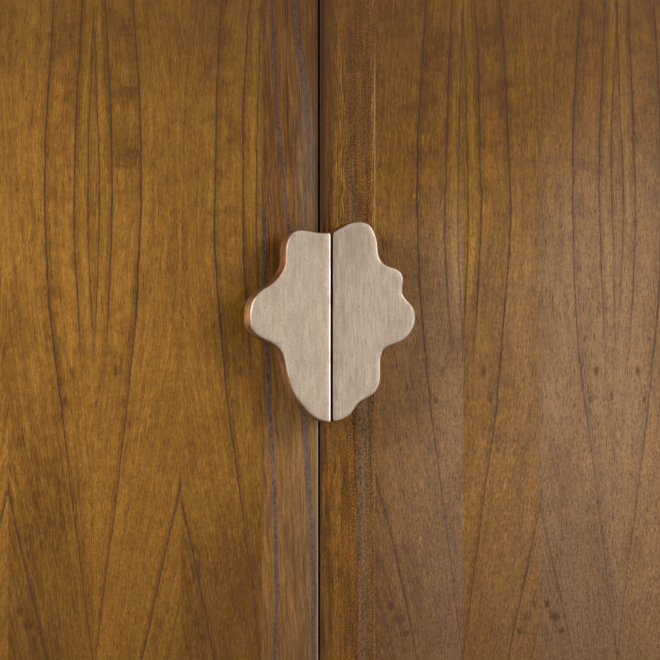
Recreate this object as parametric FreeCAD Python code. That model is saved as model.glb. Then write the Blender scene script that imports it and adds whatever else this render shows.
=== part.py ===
"""A two-door sideboard with a split cast pull, as separate pieces in millimetres.

The case is a mitred box of four thick veneered boards on a recessed plinth. A centre partition
divides it into two bays, each with a shelf on pins. Two inset doors hang on knife hinges at
their outer corners, close against magnetic catches and meet at the middle, where each carries
one half of a cast metal pull with an irregular wavy outline.

Frame: +Z up, the front faces -Y, +X to the right seen from the front. The origin is on the
floor, under the middle of the whole depth from the front of the pull to the back of the case.
"""
import FreeCAD
import Part

import os

V = FreeCAD.Vector

# Overall size
overall_width = 1220.0
overall_depth = 460.0
overall_height = 860.0

# Case boards
board_thickness = 30.0
edge_ease = 1.2                 # small bevel on every outer and front edge of the case
partition_thickness = 22.0
back_thickness = 8.0
back_rabbet = 10.0              # how far the back panel reaches into each board
back_inset = 2.0                # the back panel lies this far in, so its screw heads do too
back_fit = 0.5                  # room all round the back panel
spline_thickness = 4.0
spline_width = 16.0
spline_depth_share = 0.38       # place of the spline along the mitre, from the inner corner
spline_end_stop = 35.0          # the grooves stop this far from the front and back
spline_fit = 0.4                # room at the bottom of each spline groove
partition_tenon_shares = (0.14, 0.5, 0.86)      # along the partition's depth

# Loose tenons, glued into a slot in each of the two pieces they join
tenon_thickness = 8.0
tenon_width = 40.0
tenon_length = 30.0
tenon_fit = 0.05                # room at each side of a tenon in its slot
tenon_end_fit = 1.0             # room at each end

# Plinth and glides
plinth_height = 76.0            # floor to the underside of the case
plinth_front_setback = 50.0
plinth_side_setback = 30.0
plinth_back_setback = 20.0
rail_thickness = 20.0
block_leg = 42.0
block_height = 48.0
glide_radius = 9.0
glide_height = 4.0
glide_end_inset = 26.0          # from a rail's end to the middle of its last glide
nail_radius = 1.5
nail_length = 16.0

# Doors
door_thickness = 22.0
door_setback = 12.0             # door face behind the case's front edge
door_ease = 0.8                 # small bevel on every edge of a door
door_side_gap = 2.0
meeting_gap = 2.2
veneer_thickness = 0.6
lipping_width = 8.0

# Face veneer. The shares are widths in leaf_width, counted from the meeting edge: a narrow
# strip, then leaves that were trimmed a little unevenly. The leaves after them are whole.
leaf_width = 78.0
left_leaf_shares = (0.69, 0.955, 1.03)
right_leaf_shares = (0.67, 1.065, 0.95, 0.947)
least_leaf_share = 0.15         # a last leaf narrower than this joins the one before

# Knife hinges
knuckle_radius = 6.0
knuckle_side_clearance = 0.5
pin_radius = 2.5
pin_clearance = 0.05
pin_front_offset = 3.5          # pin axis in front of the door face
hinge_leaf_thickness = 2.5
hinge_leaf_width = 12.0
hinge_leaf_length = 54.0        # pin axis to the far end
hinge_leaf_fit = 0.15           # room round a leaf in its mortise
hinge_screw_shares = (0.5, 0.82)                # of the leaf's length, from the pin
knuckle_stand = 1.6             # how far a case leaf's knuckle stands proud, which is
                                # also the gap above and below a door

# Screws of the hinges, catches and back panel
small_screw_radius = 1.75
small_screw_head_radius = 3.2
small_screw_head_height = 1.8
small_screw_length = 15.0

# Split pull
pull_half_width = 76.0
pull_half_height = 90.0
pull_projection = 40.0          # door face to the front of the pull
pull_plate_thickness = 21.0
pull_gap = 2.0
pull_wall = 6.0                 # side wall left round the hollow back
pull_face_thickness = 7.0
pull_front_bevel = 1.5
seam_corner_round = 2.0
arc_closeness = 0.3             # how near the outline's arcs keep to its smooth wave
post_radius = 9.0
post_out = 23.0                 # from the seam edge
post_up = 44.0
post_down = 42.0
pull_screw_radius = 2.5
pull_screw_head_radius = 5.0
pull_screw_head_height = 3.2
pull_screw_bite = 15.0
tapped_depth = 18.0
pull_screw_slack = 0.25         # radial room in the door
thread_clearance = 0.05

# Catches and bumpers
catch_length = 40.0
catch_depth = 14.0
catch_wall = 2.5                # below the magnet
catch_flange_length = 60.0
catch_flange_thickness = 2.5
plate_corner_cut = 3.0          # off the corners of a catch's flange and a strike plate
catch_from_partition = 42.0     # partition face to the middle of the catch
magnet_length = 34.0
magnet_depth = 5.0
magnet_height = 7.0
strike_length = 40.0
strike_height = 12.0
strike_drop = 1.5               # from the door's top edge
strike_thickness = 1.2
closed_clearance = 0.3          # what is left between a closed door and what it closes on
bumper_radius = 3.5
bumper_thickness = 1.7
bumper_end_distance = 60.0

# Shelves
shelf_thickness = 20.0
shelf_lipping = 12.0
shelf_end_clearance = 1.0
shelf_front_setback = 26.0      # behind the front edge of the partition
shelf_back_clearance = 3.0
shelf_hole_radius = 2.5
shelf_hole_depth = 9.5
shelf_hole_pitch = 48.0
shelf_hole_count = 3
shelf_hole_front_inset = 55.0   # from the shelf's front edge
shelf_hole_back_inset = 55.0
shelf_pin_fit = 0.05
lug_reach = 8.0
lug_width = 9.0
lug_thickness = 3.0

# Back panel screws
back_screw_length = 22.0
back_screw_corner_inset = 45.0
back_screws_across_count = 5
back_screws_up_count = 2

# Small pieces that repeat are drawn with a few flat sides, to keep the model light
fastener_side_count = 6         # screws, pegs and nails
disc_side_count = 12            # glides, bumpers, hinge knuckles and the pull's screw heads

full_turn = 360.0
mitre_turn = 45.0
overrun = 5.0                   # how far a cutting tool runs past the stock
tolerance = 0.0001              # two places this near are the same place

# Places worked out from the sizes above
half_width = overall_width / 2
front_y = (pull_projection - door_setback - overall_depth) / 2
back_y = front_y + overall_depth
middle_y = (front_y + back_y) / 2
inner_half = half_width - board_thickness
case_bottom = plinth_height
inner_bottom = case_bottom + board_thickness
inner_top = overall_height - board_thickness
back_face_y = back_y - back_inset
back_front_y = back_face_y - back_thickness
door_face_y = front_y + door_setback
door_back_y = door_face_y + door_thickness
core_front_y = door_face_y + veneer_thickness
core_back_y = door_back_y - veneer_thickness
door_bottom = inner_bottom + knuckle_stand
door_top = inner_top - knuckle_stand
door_outer_x = inner_half - door_side_gap
door_meeting_x = meeting_gap / 2
axis_x = inner_half - knuckle_radius - knuckle_side_clearance
axis_y = door_face_y - pin_front_offset
hinge_line_y = (door_face_y + door_back_y) / 2
partition_half = partition_thickness / 2
partition_front_y = door_back_y + closed_clearance + bumper_thickness
pull_middle_z = (door_bottom + door_top) / 2
pull_front_y = door_face_y - pull_projection
shelf_front_y = partition_front_y + shelf_front_setback
shelf_back_y = back_front_y - shelf_back_clearance
shelf_bottom = (inner_bottom + inner_top) / 2
rail_bottom = glide_height
rail_front_y = front_y + plinth_front_setback
rail_back_y = back_y - plinth_back_setback
rail_outer_x = half_width - plinth_side_setback
catch_x = partition_half + catch_from_partition
catch_front_y = door_back_y + strike_thickness + closed_clearance
strike_middle_z = door_top - strike_drop - strike_height / 2
catch_bottom_z = strike_middle_z - magnet_height / 2 - catch_wall

# Outlines of the two halves of the pull. Each point is (out from the seam, up from the middle)
# as shares of pull_half_width and pull_half_height, from the top of the seam round to its foot.
left_outline_shares = (
    (0.0, 0.89), (0.15, 0.89), (0.32, 0.915), (0.45, 0.90), (0.52, 0.82), (0.55, 0.68),
    (0.56, 0.56), (0.61, 0.475), (0.70, 0.395), (0.83, 0.325), (0.945, 0.22), (0.985, 0.08),
    (0.96, -0.065), (0.88, -0.14), (0.72, -0.205), (0.60, -0.29), (0.55, -0.42),
    (0.505, -0.58), (0.43, -0.725), (0.29, -0.875), (0.12, -0.975), (0.0, -1.0),
)
right_outline_shares = (
    (0.0, 0.89), (0.10, 0.935), (0.22, 0.985), (0.33, 1.0), (0.43, 0.98), (0.505, 0.90),
    (0.545, 0.79), (0.56, 0.67), (0.60, 0.60), (0.69, 0.557), (0.79, 0.528), (0.855, 0.47),
    (0.86, 0.37), (0.857, 0.28), (0.91, 0.22), (0.99, 0.145), (1.015, 0.05),
    (0.975, -0.08), (0.88, -0.17), (0.74, -0.225), (0.635, -0.265), (0.59, -0.345),
    (0.583, -0.50), (0.565, -0.63), (0.50, -0.71), (0.39, -0.765), (0.30, -0.815),
    (0.24, -0.89), (0.14, -0.96), (0.0, -0.99),
)


def block(x0, x1, y0, y1, z0, z1):
    """A box between two corners, given in any order."""
    low = V(min(x0, x1), min(y0, y1), min(z0, z1))
    return Part.makeBox(abs(x1 - x0), abs(y1 - y0), abs(z1 - z0), low)


def rod(radius, start, direction, length):
    """A round bar from start along direction."""
    return Part.makeCylinder(radius, length, start, direction)


def flat_sided_rod(radius, start, direction, length, side_count=fastener_side_count):
    """A bar with a few flat sides whose corners lie on the radius, along one of the axes."""
    arm = V(radius, 0, 0) if close_to(abs(direction.z), 1) else V(0, 0, radius)
    corners = [start + FreeCAD.Rotation(direction, full_turn * i / side_count).multVec(arm)
               for i in range(side_count)]
    return Part.Face(Part.makePolygon(corners + corners[:1])).extrude(direction * length)


def block_about(centre, size_x, size_y, size_z):
    """A box about its middle point."""
    return block(centre.x - size_x / 2, centre.x + size_x / 2,
                 centre.y - size_y / 2, centre.y + size_y / 2,
                 centre.z - size_z / 2, centre.z + size_z / 2)


def prism_y(points, y0, y1):
    """A polygon of (x, z) points, extruded from y0 to y1."""
    corners = [V(x, y0, z) for x, z in points]
    return Part.Face(Part.makePolygon(corners + corners[:1])).extrude(V(0, y1 - y0, 0))


def mirrored(shape):
    """The same piece on the other side of the middle plane."""
    return shape.mirror(V(0, 0, 0), V(1, 0, 0))


def on_side(side, shape):
    """A piece drawn for the left (side -1), put on the side asked for."""
    return shape if side < 0 else mirrored(shape)


def both_sides(shapes):
    """The pieces and their mirror images."""
    return shapes + [mirrored(shape) for shape in shapes]


def cut_all(stock, tools):
    """The stock with every tool taken away."""
    for tool in tools:
        stock = stock.cut(tool)
    return stock


def straight_edges(shape, along, test):
    """The straight edges along one axis whose middle point passes the test."""
    found = []
    for edge in shape.Edges:
        start, end = edge.firstVertex().Point, edge.lastVertex().Point
        run = end - start
        if run.Length > 0 and close_to(abs(run.dot(along)), run.Length):
            if test((start + end) / 2):
                found.append(edge)
    return found


def close_to(value, target):
    return abs(value - target) < tolerance


def rim_edges(shape, y):
    """The edges that lie in the plane at y."""
    return [edge for edge in shape.Edges
            if all(close_to(vertex.Point.y, y) for vertex in edge.Vertexes)]


def spread(first, last, count):
    """Evenly spaced places from first to last."""
    if count < 2:
        return [(first + last) / 2]
    return [first + (last - first) * i / (count - 1) for i in range(count)]


def raised_screw(radius, head_radius, head_height, length, seat, inward, head_side_count):
    """A screw whose head stands on the surface at seat and whose shank runs inward."""
    head = flat_sided_rod(head_radius, seat, -inward, head_height, head_side_count)
    return head.fuse(flat_sided_rod(radius, seat, inward, length)).removeSplitter()


def small_screw(seat, inward):
    """A screw whose head lies flush at seat and whose shank runs inward."""
    head = flat_sided_rod(small_screw_head_radius, seat, inward, small_screw_head_height)
    shank = flat_sided_rod(small_screw_radius, seat, inward, small_screw_length)
    return head.fuse(shank).removeSplitter()


# Case boards

def case_ring():
    """The four boards as one mitred ring, bevelled outside and round the front opening."""
    outer = block(-half_width, half_width, front_y, back_y, case_bottom, overall_height)
    outer = outer.makeChamfer(edge_ease, outer.Edges)
    opening = block(-inner_half, inner_half, front_y - overrun, back_y + overrun,
                    inner_bottom, inner_top)
    ring = outer.cut(opening)
    front_rim = [edge for along in (V(1, 0, 0), V(0, 0, 1))
                 for edge in straight_edges(ring, along, on_opening_front)]
    ring = ring.makeChamfer(edge_ease, front_rim)
    rabbet = block(-inner_half - back_rabbet, inner_half + back_rabbet,
                   back_front_y, back_y + overrun,
                   inner_bottom - back_rabbet, inner_top + back_rabbet)
    return ring.cut(rabbet)


def on_opening_front(point):
    """Whether a point is on the inner edge of the case's front."""
    at_side = close_to(abs(point.x), inner_half) and inner_bottom < point.z < inner_top
    at_end = abs(point.x) < inner_half and (
        close_to(point.z, inner_bottom) or close_to(point.z, inner_top))
    return close_to(point.y, front_y) and (at_side or at_end)


def mitre_wedge(end):
    """The space that one board of the ring takes between its two mitres."""
    depth = board_thickness + overrun
    y0, y1 = front_y - overrun, back_y + overrun
    if end == "top":
        return prism_y([(-half_width, overall_height), (half_width, overall_height),
                        (half_width - depth, overall_height - depth),
                        (-half_width + depth, overall_height - depth)], y0, y1)
    if end == "bottom":
        return prism_y([(-half_width, case_bottom), (half_width, case_bottom),
                        (half_width - depth, case_bottom + depth),
                        (-half_width + depth, case_bottom + depth)], y0, y1)
    return prism_y([(-half_width, case_bottom), (-half_width, overall_height),
                    (-half_width + depth, overall_height - depth),
                    (-half_width + depth, case_bottom + depth)], y0, y1)


def mitre_spline(z_outer, up, grow=0.0):
    """A plywood tongue across the left mitre at the top or bottom, or its groove if grown."""
    reach = board_thickness * (1 - spline_depth_share)
    centre = V(-half_width + reach, middle_y, z_outer - up * reach)
    length = overall_depth - 2 * spline_end_stop
    width = spline_width + 2 * grow
    tongue = block(-width / 2, width / 2, -length / 2, length / 2,
                   -spline_thickness / 2, spline_thickness / 2)
    tongue.rotate(V(0, 0, 0), V(0, 1, 0), -up * mitre_turn)
    tongue.translate(centre)
    return tongue


def all_splines(grow=0.0):
    return both_sides([mitre_spline(overall_height, 1, grow), mitre_spline(case_bottom, -1, grow)])


def partition_tenons(side_room=0.0, end_room=0.0):
    """Loose tenons through the joints above and below the partition, or their slots."""
    depth_span = back_front_y - partition_front_y
    return [block_about(V(0, partition_front_y + depth_span * share, z),
                        tenon_thickness + 2 * side_room, tenon_width + 2 * side_room,
                        tenon_length + 2 * end_room)
            for z in (inner_bottom, inner_top) for share in partition_tenon_shares]


# Knife hinges

def hinge_leaf_blank(z0, grow=0.0):
    """The cranked outline of a left-hand leaf: knuckle, neck and square strap."""
    half = hinge_leaf_width / 2 + grow
    z1 = z0 + hinge_leaf_thickness
    knuckle = flat_sided_rod(knuckle_radius + grow, V(-axis_x, axis_y, z0), V(0, 0, 1),
                             z1 - z0, disc_side_count)
    neck = block(-axis_x - half, -axis_x + half, axis_y, hinge_line_y + half, z0, z1)
    strap = block(-axis_x, -axis_x + hinge_leaf_length + grow,
                  hinge_line_y - half, hinge_line_y + half, z0, z1)
    return knuckle.fuse([neck, strap]).removeSplitter()


def hinge_levels():
    """For the top and the bottom hinge: case face, way into the case, door end face."""
    return ((inner_top, 1, door_top), (inner_bottom, -1, door_bottom))


def case_leaf_mortise(z_face, up):
    z0 = z_face if up > 0 else z_face - hinge_leaf_thickness
    return hinge_leaf_blank(z0, hinge_leaf_fit)


def door_leaf_mortise(z_end, up):
    z0 = z_end - hinge_leaf_thickness if up > 0 else z_end
    return hinge_leaf_blank(z0, hinge_leaf_fit)


def hinge_screws(z_face, inward):
    """The two screws of one leaf."""
    return [small_screw(V(-axis_x + hinge_leaf_length * share, hinge_line_y, z_face), inward)
            for share in hinge_screw_shares]


def case_hinge_leaves():
    """Both leaves of the left side. The knuckle stands proud and carries the riveted pin."""
    leaves = []
    for z_face, up, _ in hinge_levels():
        z0 = z_face if up > 0 else z_face - hinge_leaf_thickness
        axis_point = V(-axis_x, axis_y, z_face + up * hinge_leaf_thickness)
        knuckle = flat_sided_rod(knuckle_radius, axis_point, V(0, 0, -up),
                                 hinge_leaf_thickness + knuckle_stand, disc_side_count)
        pin = rod(pin_radius, axis_point, V(0, 0, -up),
                  2 * hinge_leaf_thickness + knuckle_stand)
        leaf = hinge_leaf_blank(z0).fuse([knuckle, pin]).removeSplitter()
        leaves.append(cut_all(leaf, hinge_screws(z_face, V(0, 0, up))))
    return leaves


def door_hinge_leaves():
    leaves = []
    for _, up, z_end in hinge_levels():
        z0 = z_end - hinge_leaf_thickness if up > 0 else z_end
        leaf = hinge_leaf_blank(z0)
        bore = rod(pin_radius + pin_clearance, V(-axis_x, axis_y, z0 - overrun), V(0, 0, 1),
                   hinge_leaf_thickness + 2 * overrun)
        leaf = leaf.cut(bore)
        leaves.append(cut_all(leaf, hinge_screws(z_end, V(0, 0, -up))))
    return leaves


def case_hinge_screws():
    return [screw for z_face, up, _ in hinge_levels()
            for screw in hinge_screws(z_face, V(0, 0, up))]


def door_hinge_screws():
    return [screw for _, up, z_end in hinge_levels()
            for screw in hinge_screws(z_end, V(0, 0, -up))]


# Shelves

def shelf_hole_levels():
    """Heights of the peg holes, the middle one under the shelf as it stands."""
    lowest = shelf_bottom - lug_thickness / 2 - shelf_hole_pitch * (shelf_hole_count // 2)
    return [lowest + shelf_hole_pitch * i for i in range(shelf_hole_count)]


def shelf_hole_rows():
    return (shelf_front_y + shelf_hole_front_inset, shelf_back_y - shelf_hole_back_inset)


def shelf_holes(x_face, inward):
    """Two rows of peg holes bored into a face at x_face."""
    return [flat_sided_rod(shelf_hole_radius, V(x_face, y, z), V(inward, 0, 0), shelf_hole_depth)
            for y in shelf_hole_rows() for z in shelf_hole_levels()]


def left_shelf_pins():
    """Four spade pins that carry the left shelf."""
    level = shelf_bottom - lug_thickness / 2
    pins = []
    for x_face, inward in ((-inner_half, -1), (-partition_half, 1)):
        for y in shelf_hole_rows():
            peg = flat_sided_rod(shelf_hole_radius - shelf_pin_fit, V(x_face, y, level),
                                 V(inward, 0, 0), shelf_hole_depth - shelf_pin_fit)
            lug = block(x_face, x_face - inward * lug_reach, y - lug_width / 2,
                        y + lug_width / 2, shelf_bottom - lug_thickness, shelf_bottom)
            pins.append(lug.fuse(peg).removeSplitter())
    return pins


def left_shelf_board():
    return block(-inner_half + shelf_end_clearance, -partition_half - shelf_end_clearance,
                 shelf_front_y + shelf_lipping, shelf_back_y,
                 shelf_bottom, shelf_bottom + shelf_thickness)


def left_shelf_lipping():
    strip = block(-inner_half + shelf_end_clearance, -partition_half - shelf_end_clearance,
                  shelf_front_y, shelf_front_y + shelf_lipping,
                  shelf_bottom, shelf_bottom + shelf_thickness)
    front = straight_edges(strip, V(1, 0, 0), lambda p: close_to(p.y, shelf_front_y))
    return strip.makeChamfer(edge_ease, front)


# Catches and bumpers

def catch_screws():
    """A screw up through each end of the catch's flange."""
    reach = (catch_length + catch_flange_length) / 4
    return [small_screw(V(-catch_x + side * reach, catch_front_y + catch_depth / 2,
                          inner_top - catch_flange_thickness), V(0, 0, 1)) for side in (-1, 1)]


def left_catch_magnet():
    return block(-catch_x - magnet_length / 2, -catch_x + magnet_length / 2,
                 catch_front_y, catch_front_y + magnet_depth,
                 strike_middle_z - magnet_height / 2, strike_middle_z + magnet_height / 2)


def left_catch_body():
    """A moulded housing under the top, open in front for its magnet."""
    flange = block(-catch_x - catch_flange_length / 2, -catch_x + catch_flange_length / 2,
                   catch_front_y, catch_front_y + catch_depth,
                   inner_top - catch_flange_thickness, inner_top)
    corners = straight_edges(flange, V(0, 0, 1), lambda p: True)
    flange = flange.makeChamfer(plate_corner_cut, corners)
    housing = block(-catch_x - catch_length / 2, -catch_x + catch_length / 2,
                    catch_front_y, catch_front_y + catch_depth,
                    catch_bottom_z, inner_top - catch_flange_thickness)
    housing = flange.fuse(housing).removeSplitter()
    return cut_all(housing, [left_catch_magnet()] + catch_screws())


def strike_screw():
    return small_screw(V(-catch_x, door_back_y + strike_thickness, strike_middle_z),
                       V(0, -1, 0))


def left_strike_plate():
    plate = block(-catch_x - strike_length / 2, -catch_x + strike_length / 2,
                  door_back_y, door_back_y + strike_thickness,
                  strike_middle_z - strike_height / 2, strike_middle_z + strike_height / 2)
    corners = straight_edges(plate, V(0, 1, 0), lambda p: True)
    plate = plate.makeChamfer(plate_corner_cut, corners)
    return plate.cut(strike_screw())


def bumpers():
    """Soft discs on the partition's front edge, two for each door."""
    return [flat_sided_rod(bumper_radius, V(x, partition_front_y, z), V(0, -1, 0),
                           bumper_thickness, disc_side_count)
            for x in (-partition_half / 2, partition_half / 2)
            for z in (inner_bottom + bumper_end_distance, inner_top - bumper_end_distance)]


# Doors

def door_tools(side):
    """What is cut out of every layer of a door: mortises, screw holes and pull holes."""
    tools = [door_leaf_mortise(z_end, up) for _, up, z_end in hinge_levels()]
    tools = [on_side(side, tool) for tool in tools + door_hinge_screws() + [strike_screw()]]
    return tools + pull_screw_holes(side)


def pull_screw_holes(side):
    """Clearance holes through the door for the pull's screws."""
    return [flat_sided_rod(pull_screw_radius + pull_screw_slack,
                           V(x, door_face_y - overrun, z), V(0, 1, 0),
                           door_thickness + 2 * overrun)
            for x, z in post_places(side)]


def left_door_blank():
    """The whole door as one bevelled slab, before it is parted into its layers."""
    slab = block(-door_outer_x, -door_meeting_x, door_face_y, door_back_y, door_bottom, door_top)
    return slab.makeChamfer(door_ease, slab.Edges)


def left_door_core():
    return block(-door_outer_x + lipping_width, -door_meeting_x - lipping_width,
                 core_front_y, core_back_y,
                 door_bottom + lipping_width, door_top - lipping_width)


def left_lipping_spaces():
    """The space of each lipping: two long ones at the sides, two short ones between them."""
    x0, x1 = -door_outer_x, -door_meeting_x
    y0, y1 = core_front_y, core_back_y
    z0, z1 = door_bottom, door_top
    w = lipping_width
    return [block(x0, x0 + w, y0, y1, z0, z1), block(x1 - w, x1, y0, y1, z0, z1),
            block(x0 + w, x1 - w, y0, y1, z0, z0 + w),
            block(x0 + w, x1 - w, y0, y1, z1 - w, z1)]


def leaf_joints(first_shares):
    """Distances from the meeting edge at which the face veneer is joined, ends included."""
    width = door_outer_x - door_meeting_x
    places = [0.0]
    for share in first_shares:
        places.append(places[-1] + leaf_width * share)
    while places[-1] + leaf_width * (1 + least_leaf_share) < width:
        places.append(places[-1] + leaf_width)
    return places + [width]


def left_leaf_spaces(first_shares):
    """The space of each leaf of face veneer, laid edge to edge."""
    places = leaf_joints(first_shares)
    return [block(-door_meeting_x - near, -door_meeting_x - far,
                  door_face_y, core_front_y, door_bottom, door_top)
            for near, far in zip(places[:-1], places[1:])]


def left_back_veneer_space():
    return block(-door_outer_x, -door_meeting_x, core_back_y, door_back_y, door_bottom, door_top)


def door_nodes(side, hand, first_shares):
    """One door's wooden pieces, from the face veneer to the back veneer."""
    blank = left_door_blank()
    tools = door_tools(side)

    def layer(space):
        return cut_all(on_side(side, blank.common(space)), tools)

    return {
        hand + "_door_core": layer(left_door_core()),
        hand + "_door_lippings": [layer(space) for space in left_lipping_spaces()],
        hand + "_door_face_veneer": [layer(space) for space in left_leaf_spaces(first_shares)],
        hand + "_door_back_veneer": layer(left_back_veneer_space()),
    }


# Split pull

def post_places(side):
    """Where the two posts of one half stand, as (x, z)."""
    x = side * (pull_gap / 2 + post_out)
    return ((x, pull_middle_z + post_up), (x, pull_middle_z - post_down))


def pull_face(side, shares, y):
    """The flat face of one half in the plane at y: tangent arcs and a straight seam."""
    points = [V(side * (pull_gap / 2 + out * pull_half_width), y,
                pull_middle_z + up * pull_half_height) for out, up in shares]
    wave = Part.BSplineCurve()
    wave.interpolate(points)
    seam = Part.LineSegment(points[-1], points[0])
    return Part.Face(Part.Wire([curve.toShape() for curve in wave.toBiArcs(arc_closeness) + [seam]]))


def pull_plate(side, shares):
    """The plate of one half, with its front edge bevelled."""
    plate = pull_face(side, shares, pull_front_y).extrude(V(0, pull_plate_thickness, 0))
    corners = straight_edges(plate, V(0, 1, 0), lambda p: close_to(abs(p.x), pull_gap / 2))
    plate = plate.makeFillet(seam_corner_round, corners)
    return plate.makeChamfer(pull_front_bevel, rim_edges(plate, pull_front_y))


def pull_half(side, shares):
    """One cast half: the plate, hollow behind, on two tapped posts."""
    floor_y = pull_front_y + pull_face_thickness
    inside = pull_face(side, shares, floor_y).makeOffset2D(-pull_wall)
    half = pull_plate(side, shares).cut(inside.extrude(V(0, pull_plate_thickness, 0)))
    for x, z in post_places(side):
        half = half.fuse(rod(post_radius, V(x, floor_y, z), V(0, 1, 0), door_face_y - floor_y))
    half = half.removeSplitter()
    tapped = [flat_sided_rod(pull_screw_radius + thread_clearance, V(x, door_face_y, z),
                             V(0, -1, 0), tapped_depth) for x, z in post_places(side)]
    return cut_all(half, tapped)


def pull_screws(side):
    """Machine screws through the door from its back, one to a post."""
    return [raised_screw(pull_screw_radius, pull_screw_head_radius, pull_screw_head_height,
                         door_thickness + pull_screw_bite, V(x, door_back_y, z),
                         V(0, -1, 0), disc_side_count) for x, z in post_places(side)]


# Plinth

def rail_spans():
    """Name to (x0, x1, y0, y1) of each rail."""
    side_y0, side_y1 = rail_front_y + rail_thickness, rail_back_y - rail_thickness
    return {
        "plinth_front_rail": (-rail_outer_x, rail_outer_x, rail_front_y, side_y0),
        "plinth_back_rail": (-rail_outer_x, rail_outer_x, side_y1, rail_back_y),
        "plinth_left_rail": (-rail_outer_x, -rail_outer_x + rail_thickness, side_y0, side_y1),
        "plinth_right_rail": (rail_outer_x - rail_thickness, rail_outer_x, side_y0, side_y1),
        "plinth_cross_rail": (-rail_thickness / 2, rail_thickness / 2, side_y0, side_y1),
    }


def rail_tenons(side_room=0.0, end_room=0.0):
    """Loose tenons from the front and back rails into the three rails between, or their slots."""
    side_x = rail_outer_x - rail_thickness / 2
    middle_z = (rail_bottom + case_bottom) / 2
    return [block_about(V(x, joint_y, middle_z), tenon_thickness + 2 * side_room,
                        tenon_length + 2 * end_room, tenon_width + 2 * side_room)
            for x in (-side_x, 0.0, side_x)
            for joint_y in (rail_front_y + rail_thickness, rail_back_y - rail_thickness)]


def block_corners():
    """Square corner of each glue block and the way its two legs run."""
    y_front, y_back = rail_front_y + rail_thickness, rail_back_y - rail_thickness
    x_side, x_mid = rail_outer_x - rail_thickness, rail_thickness / 2
    return [(sx * x, y, -sx * way, 1 if y == y_front else -1)
            for sx in (-1, 1) for x, way in ((x_side, 1), (x_mid, -1)) for y in (y_front, y_back)]


def glue_blocks():
    """Three-cornered blocks that are glued under the bottom board and to the rails."""
    blocks = []
    z0 = case_bottom - block_height
    for x, y, dx, dy in block_corners():
        corners = [V(x, y, z0), V(x + dx * block_leg, y, z0), V(x, y + dy * block_leg, z0)]
        face = Part.Face(Part.makePolygon(corners + corners[:1]))
        blocks.append(face.extrude(V(0, 0, block_height)))
    return blocks


def glide_places():
    """Middles of the glides under the front and back rails."""
    end_x = rail_outer_x - glide_end_inset
    return [(x, y) for x in (-end_x, 0.0, end_x)
            for y in (rail_front_y + rail_thickness / 2, rail_back_y - rail_thickness / 2)]


def glides():
    """Plastic discs under the front and back rails, which carry the whole sideboard."""
    discs = [flat_sided_rod(glide_radius, V(x, y, 0), V(0, 0, 1), glide_height, disc_side_count)
             for x, y in glide_places()]
    return [cut_all(disc, glide_nails()) for disc in discs]


def glide_nails():
    """Nails up through the glides, their heads sunk above the floor."""
    return [flat_sided_rod(nail_radius, V(x, y, glide_height / 2), V(0, 0, 1), nail_length)
            for x, y in glide_places()]


# Back panel

def back_screws():
    """Screws through the rim of the back panel and along the partition."""
    edge_x = inner_half + back_rabbet / 2
    low, high = inner_bottom - back_rabbet / 2, inner_top + back_rabbet / 2
    inset = back_screw_corner_inset
    across = spread(inset - edge_x, edge_x - inset, back_screws_across_count)
    upward = spread(low + inset, high - inset, back_screws_up_count)
    places = [(x, z) for z in (low, high) for x in across]
    places += [(x, z) for z in upward for x in (-edge_x, 0.0, edge_x)]
    return [raised_screw(small_screw_radius, small_screw_head_radius, small_screw_head_height,
                         back_screw_length, V(x, back_face_y, z), V(0, -1, 0),
                         fastener_side_count) for x, z in places]


def back_panel():
    rim = back_rabbet - back_fit
    panel = block(-inner_half - rim, inner_half + rim, back_front_y, back_face_y,
                  inner_bottom - rim, inner_top + rim)
    return cut_all(panel, back_screws())


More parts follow.
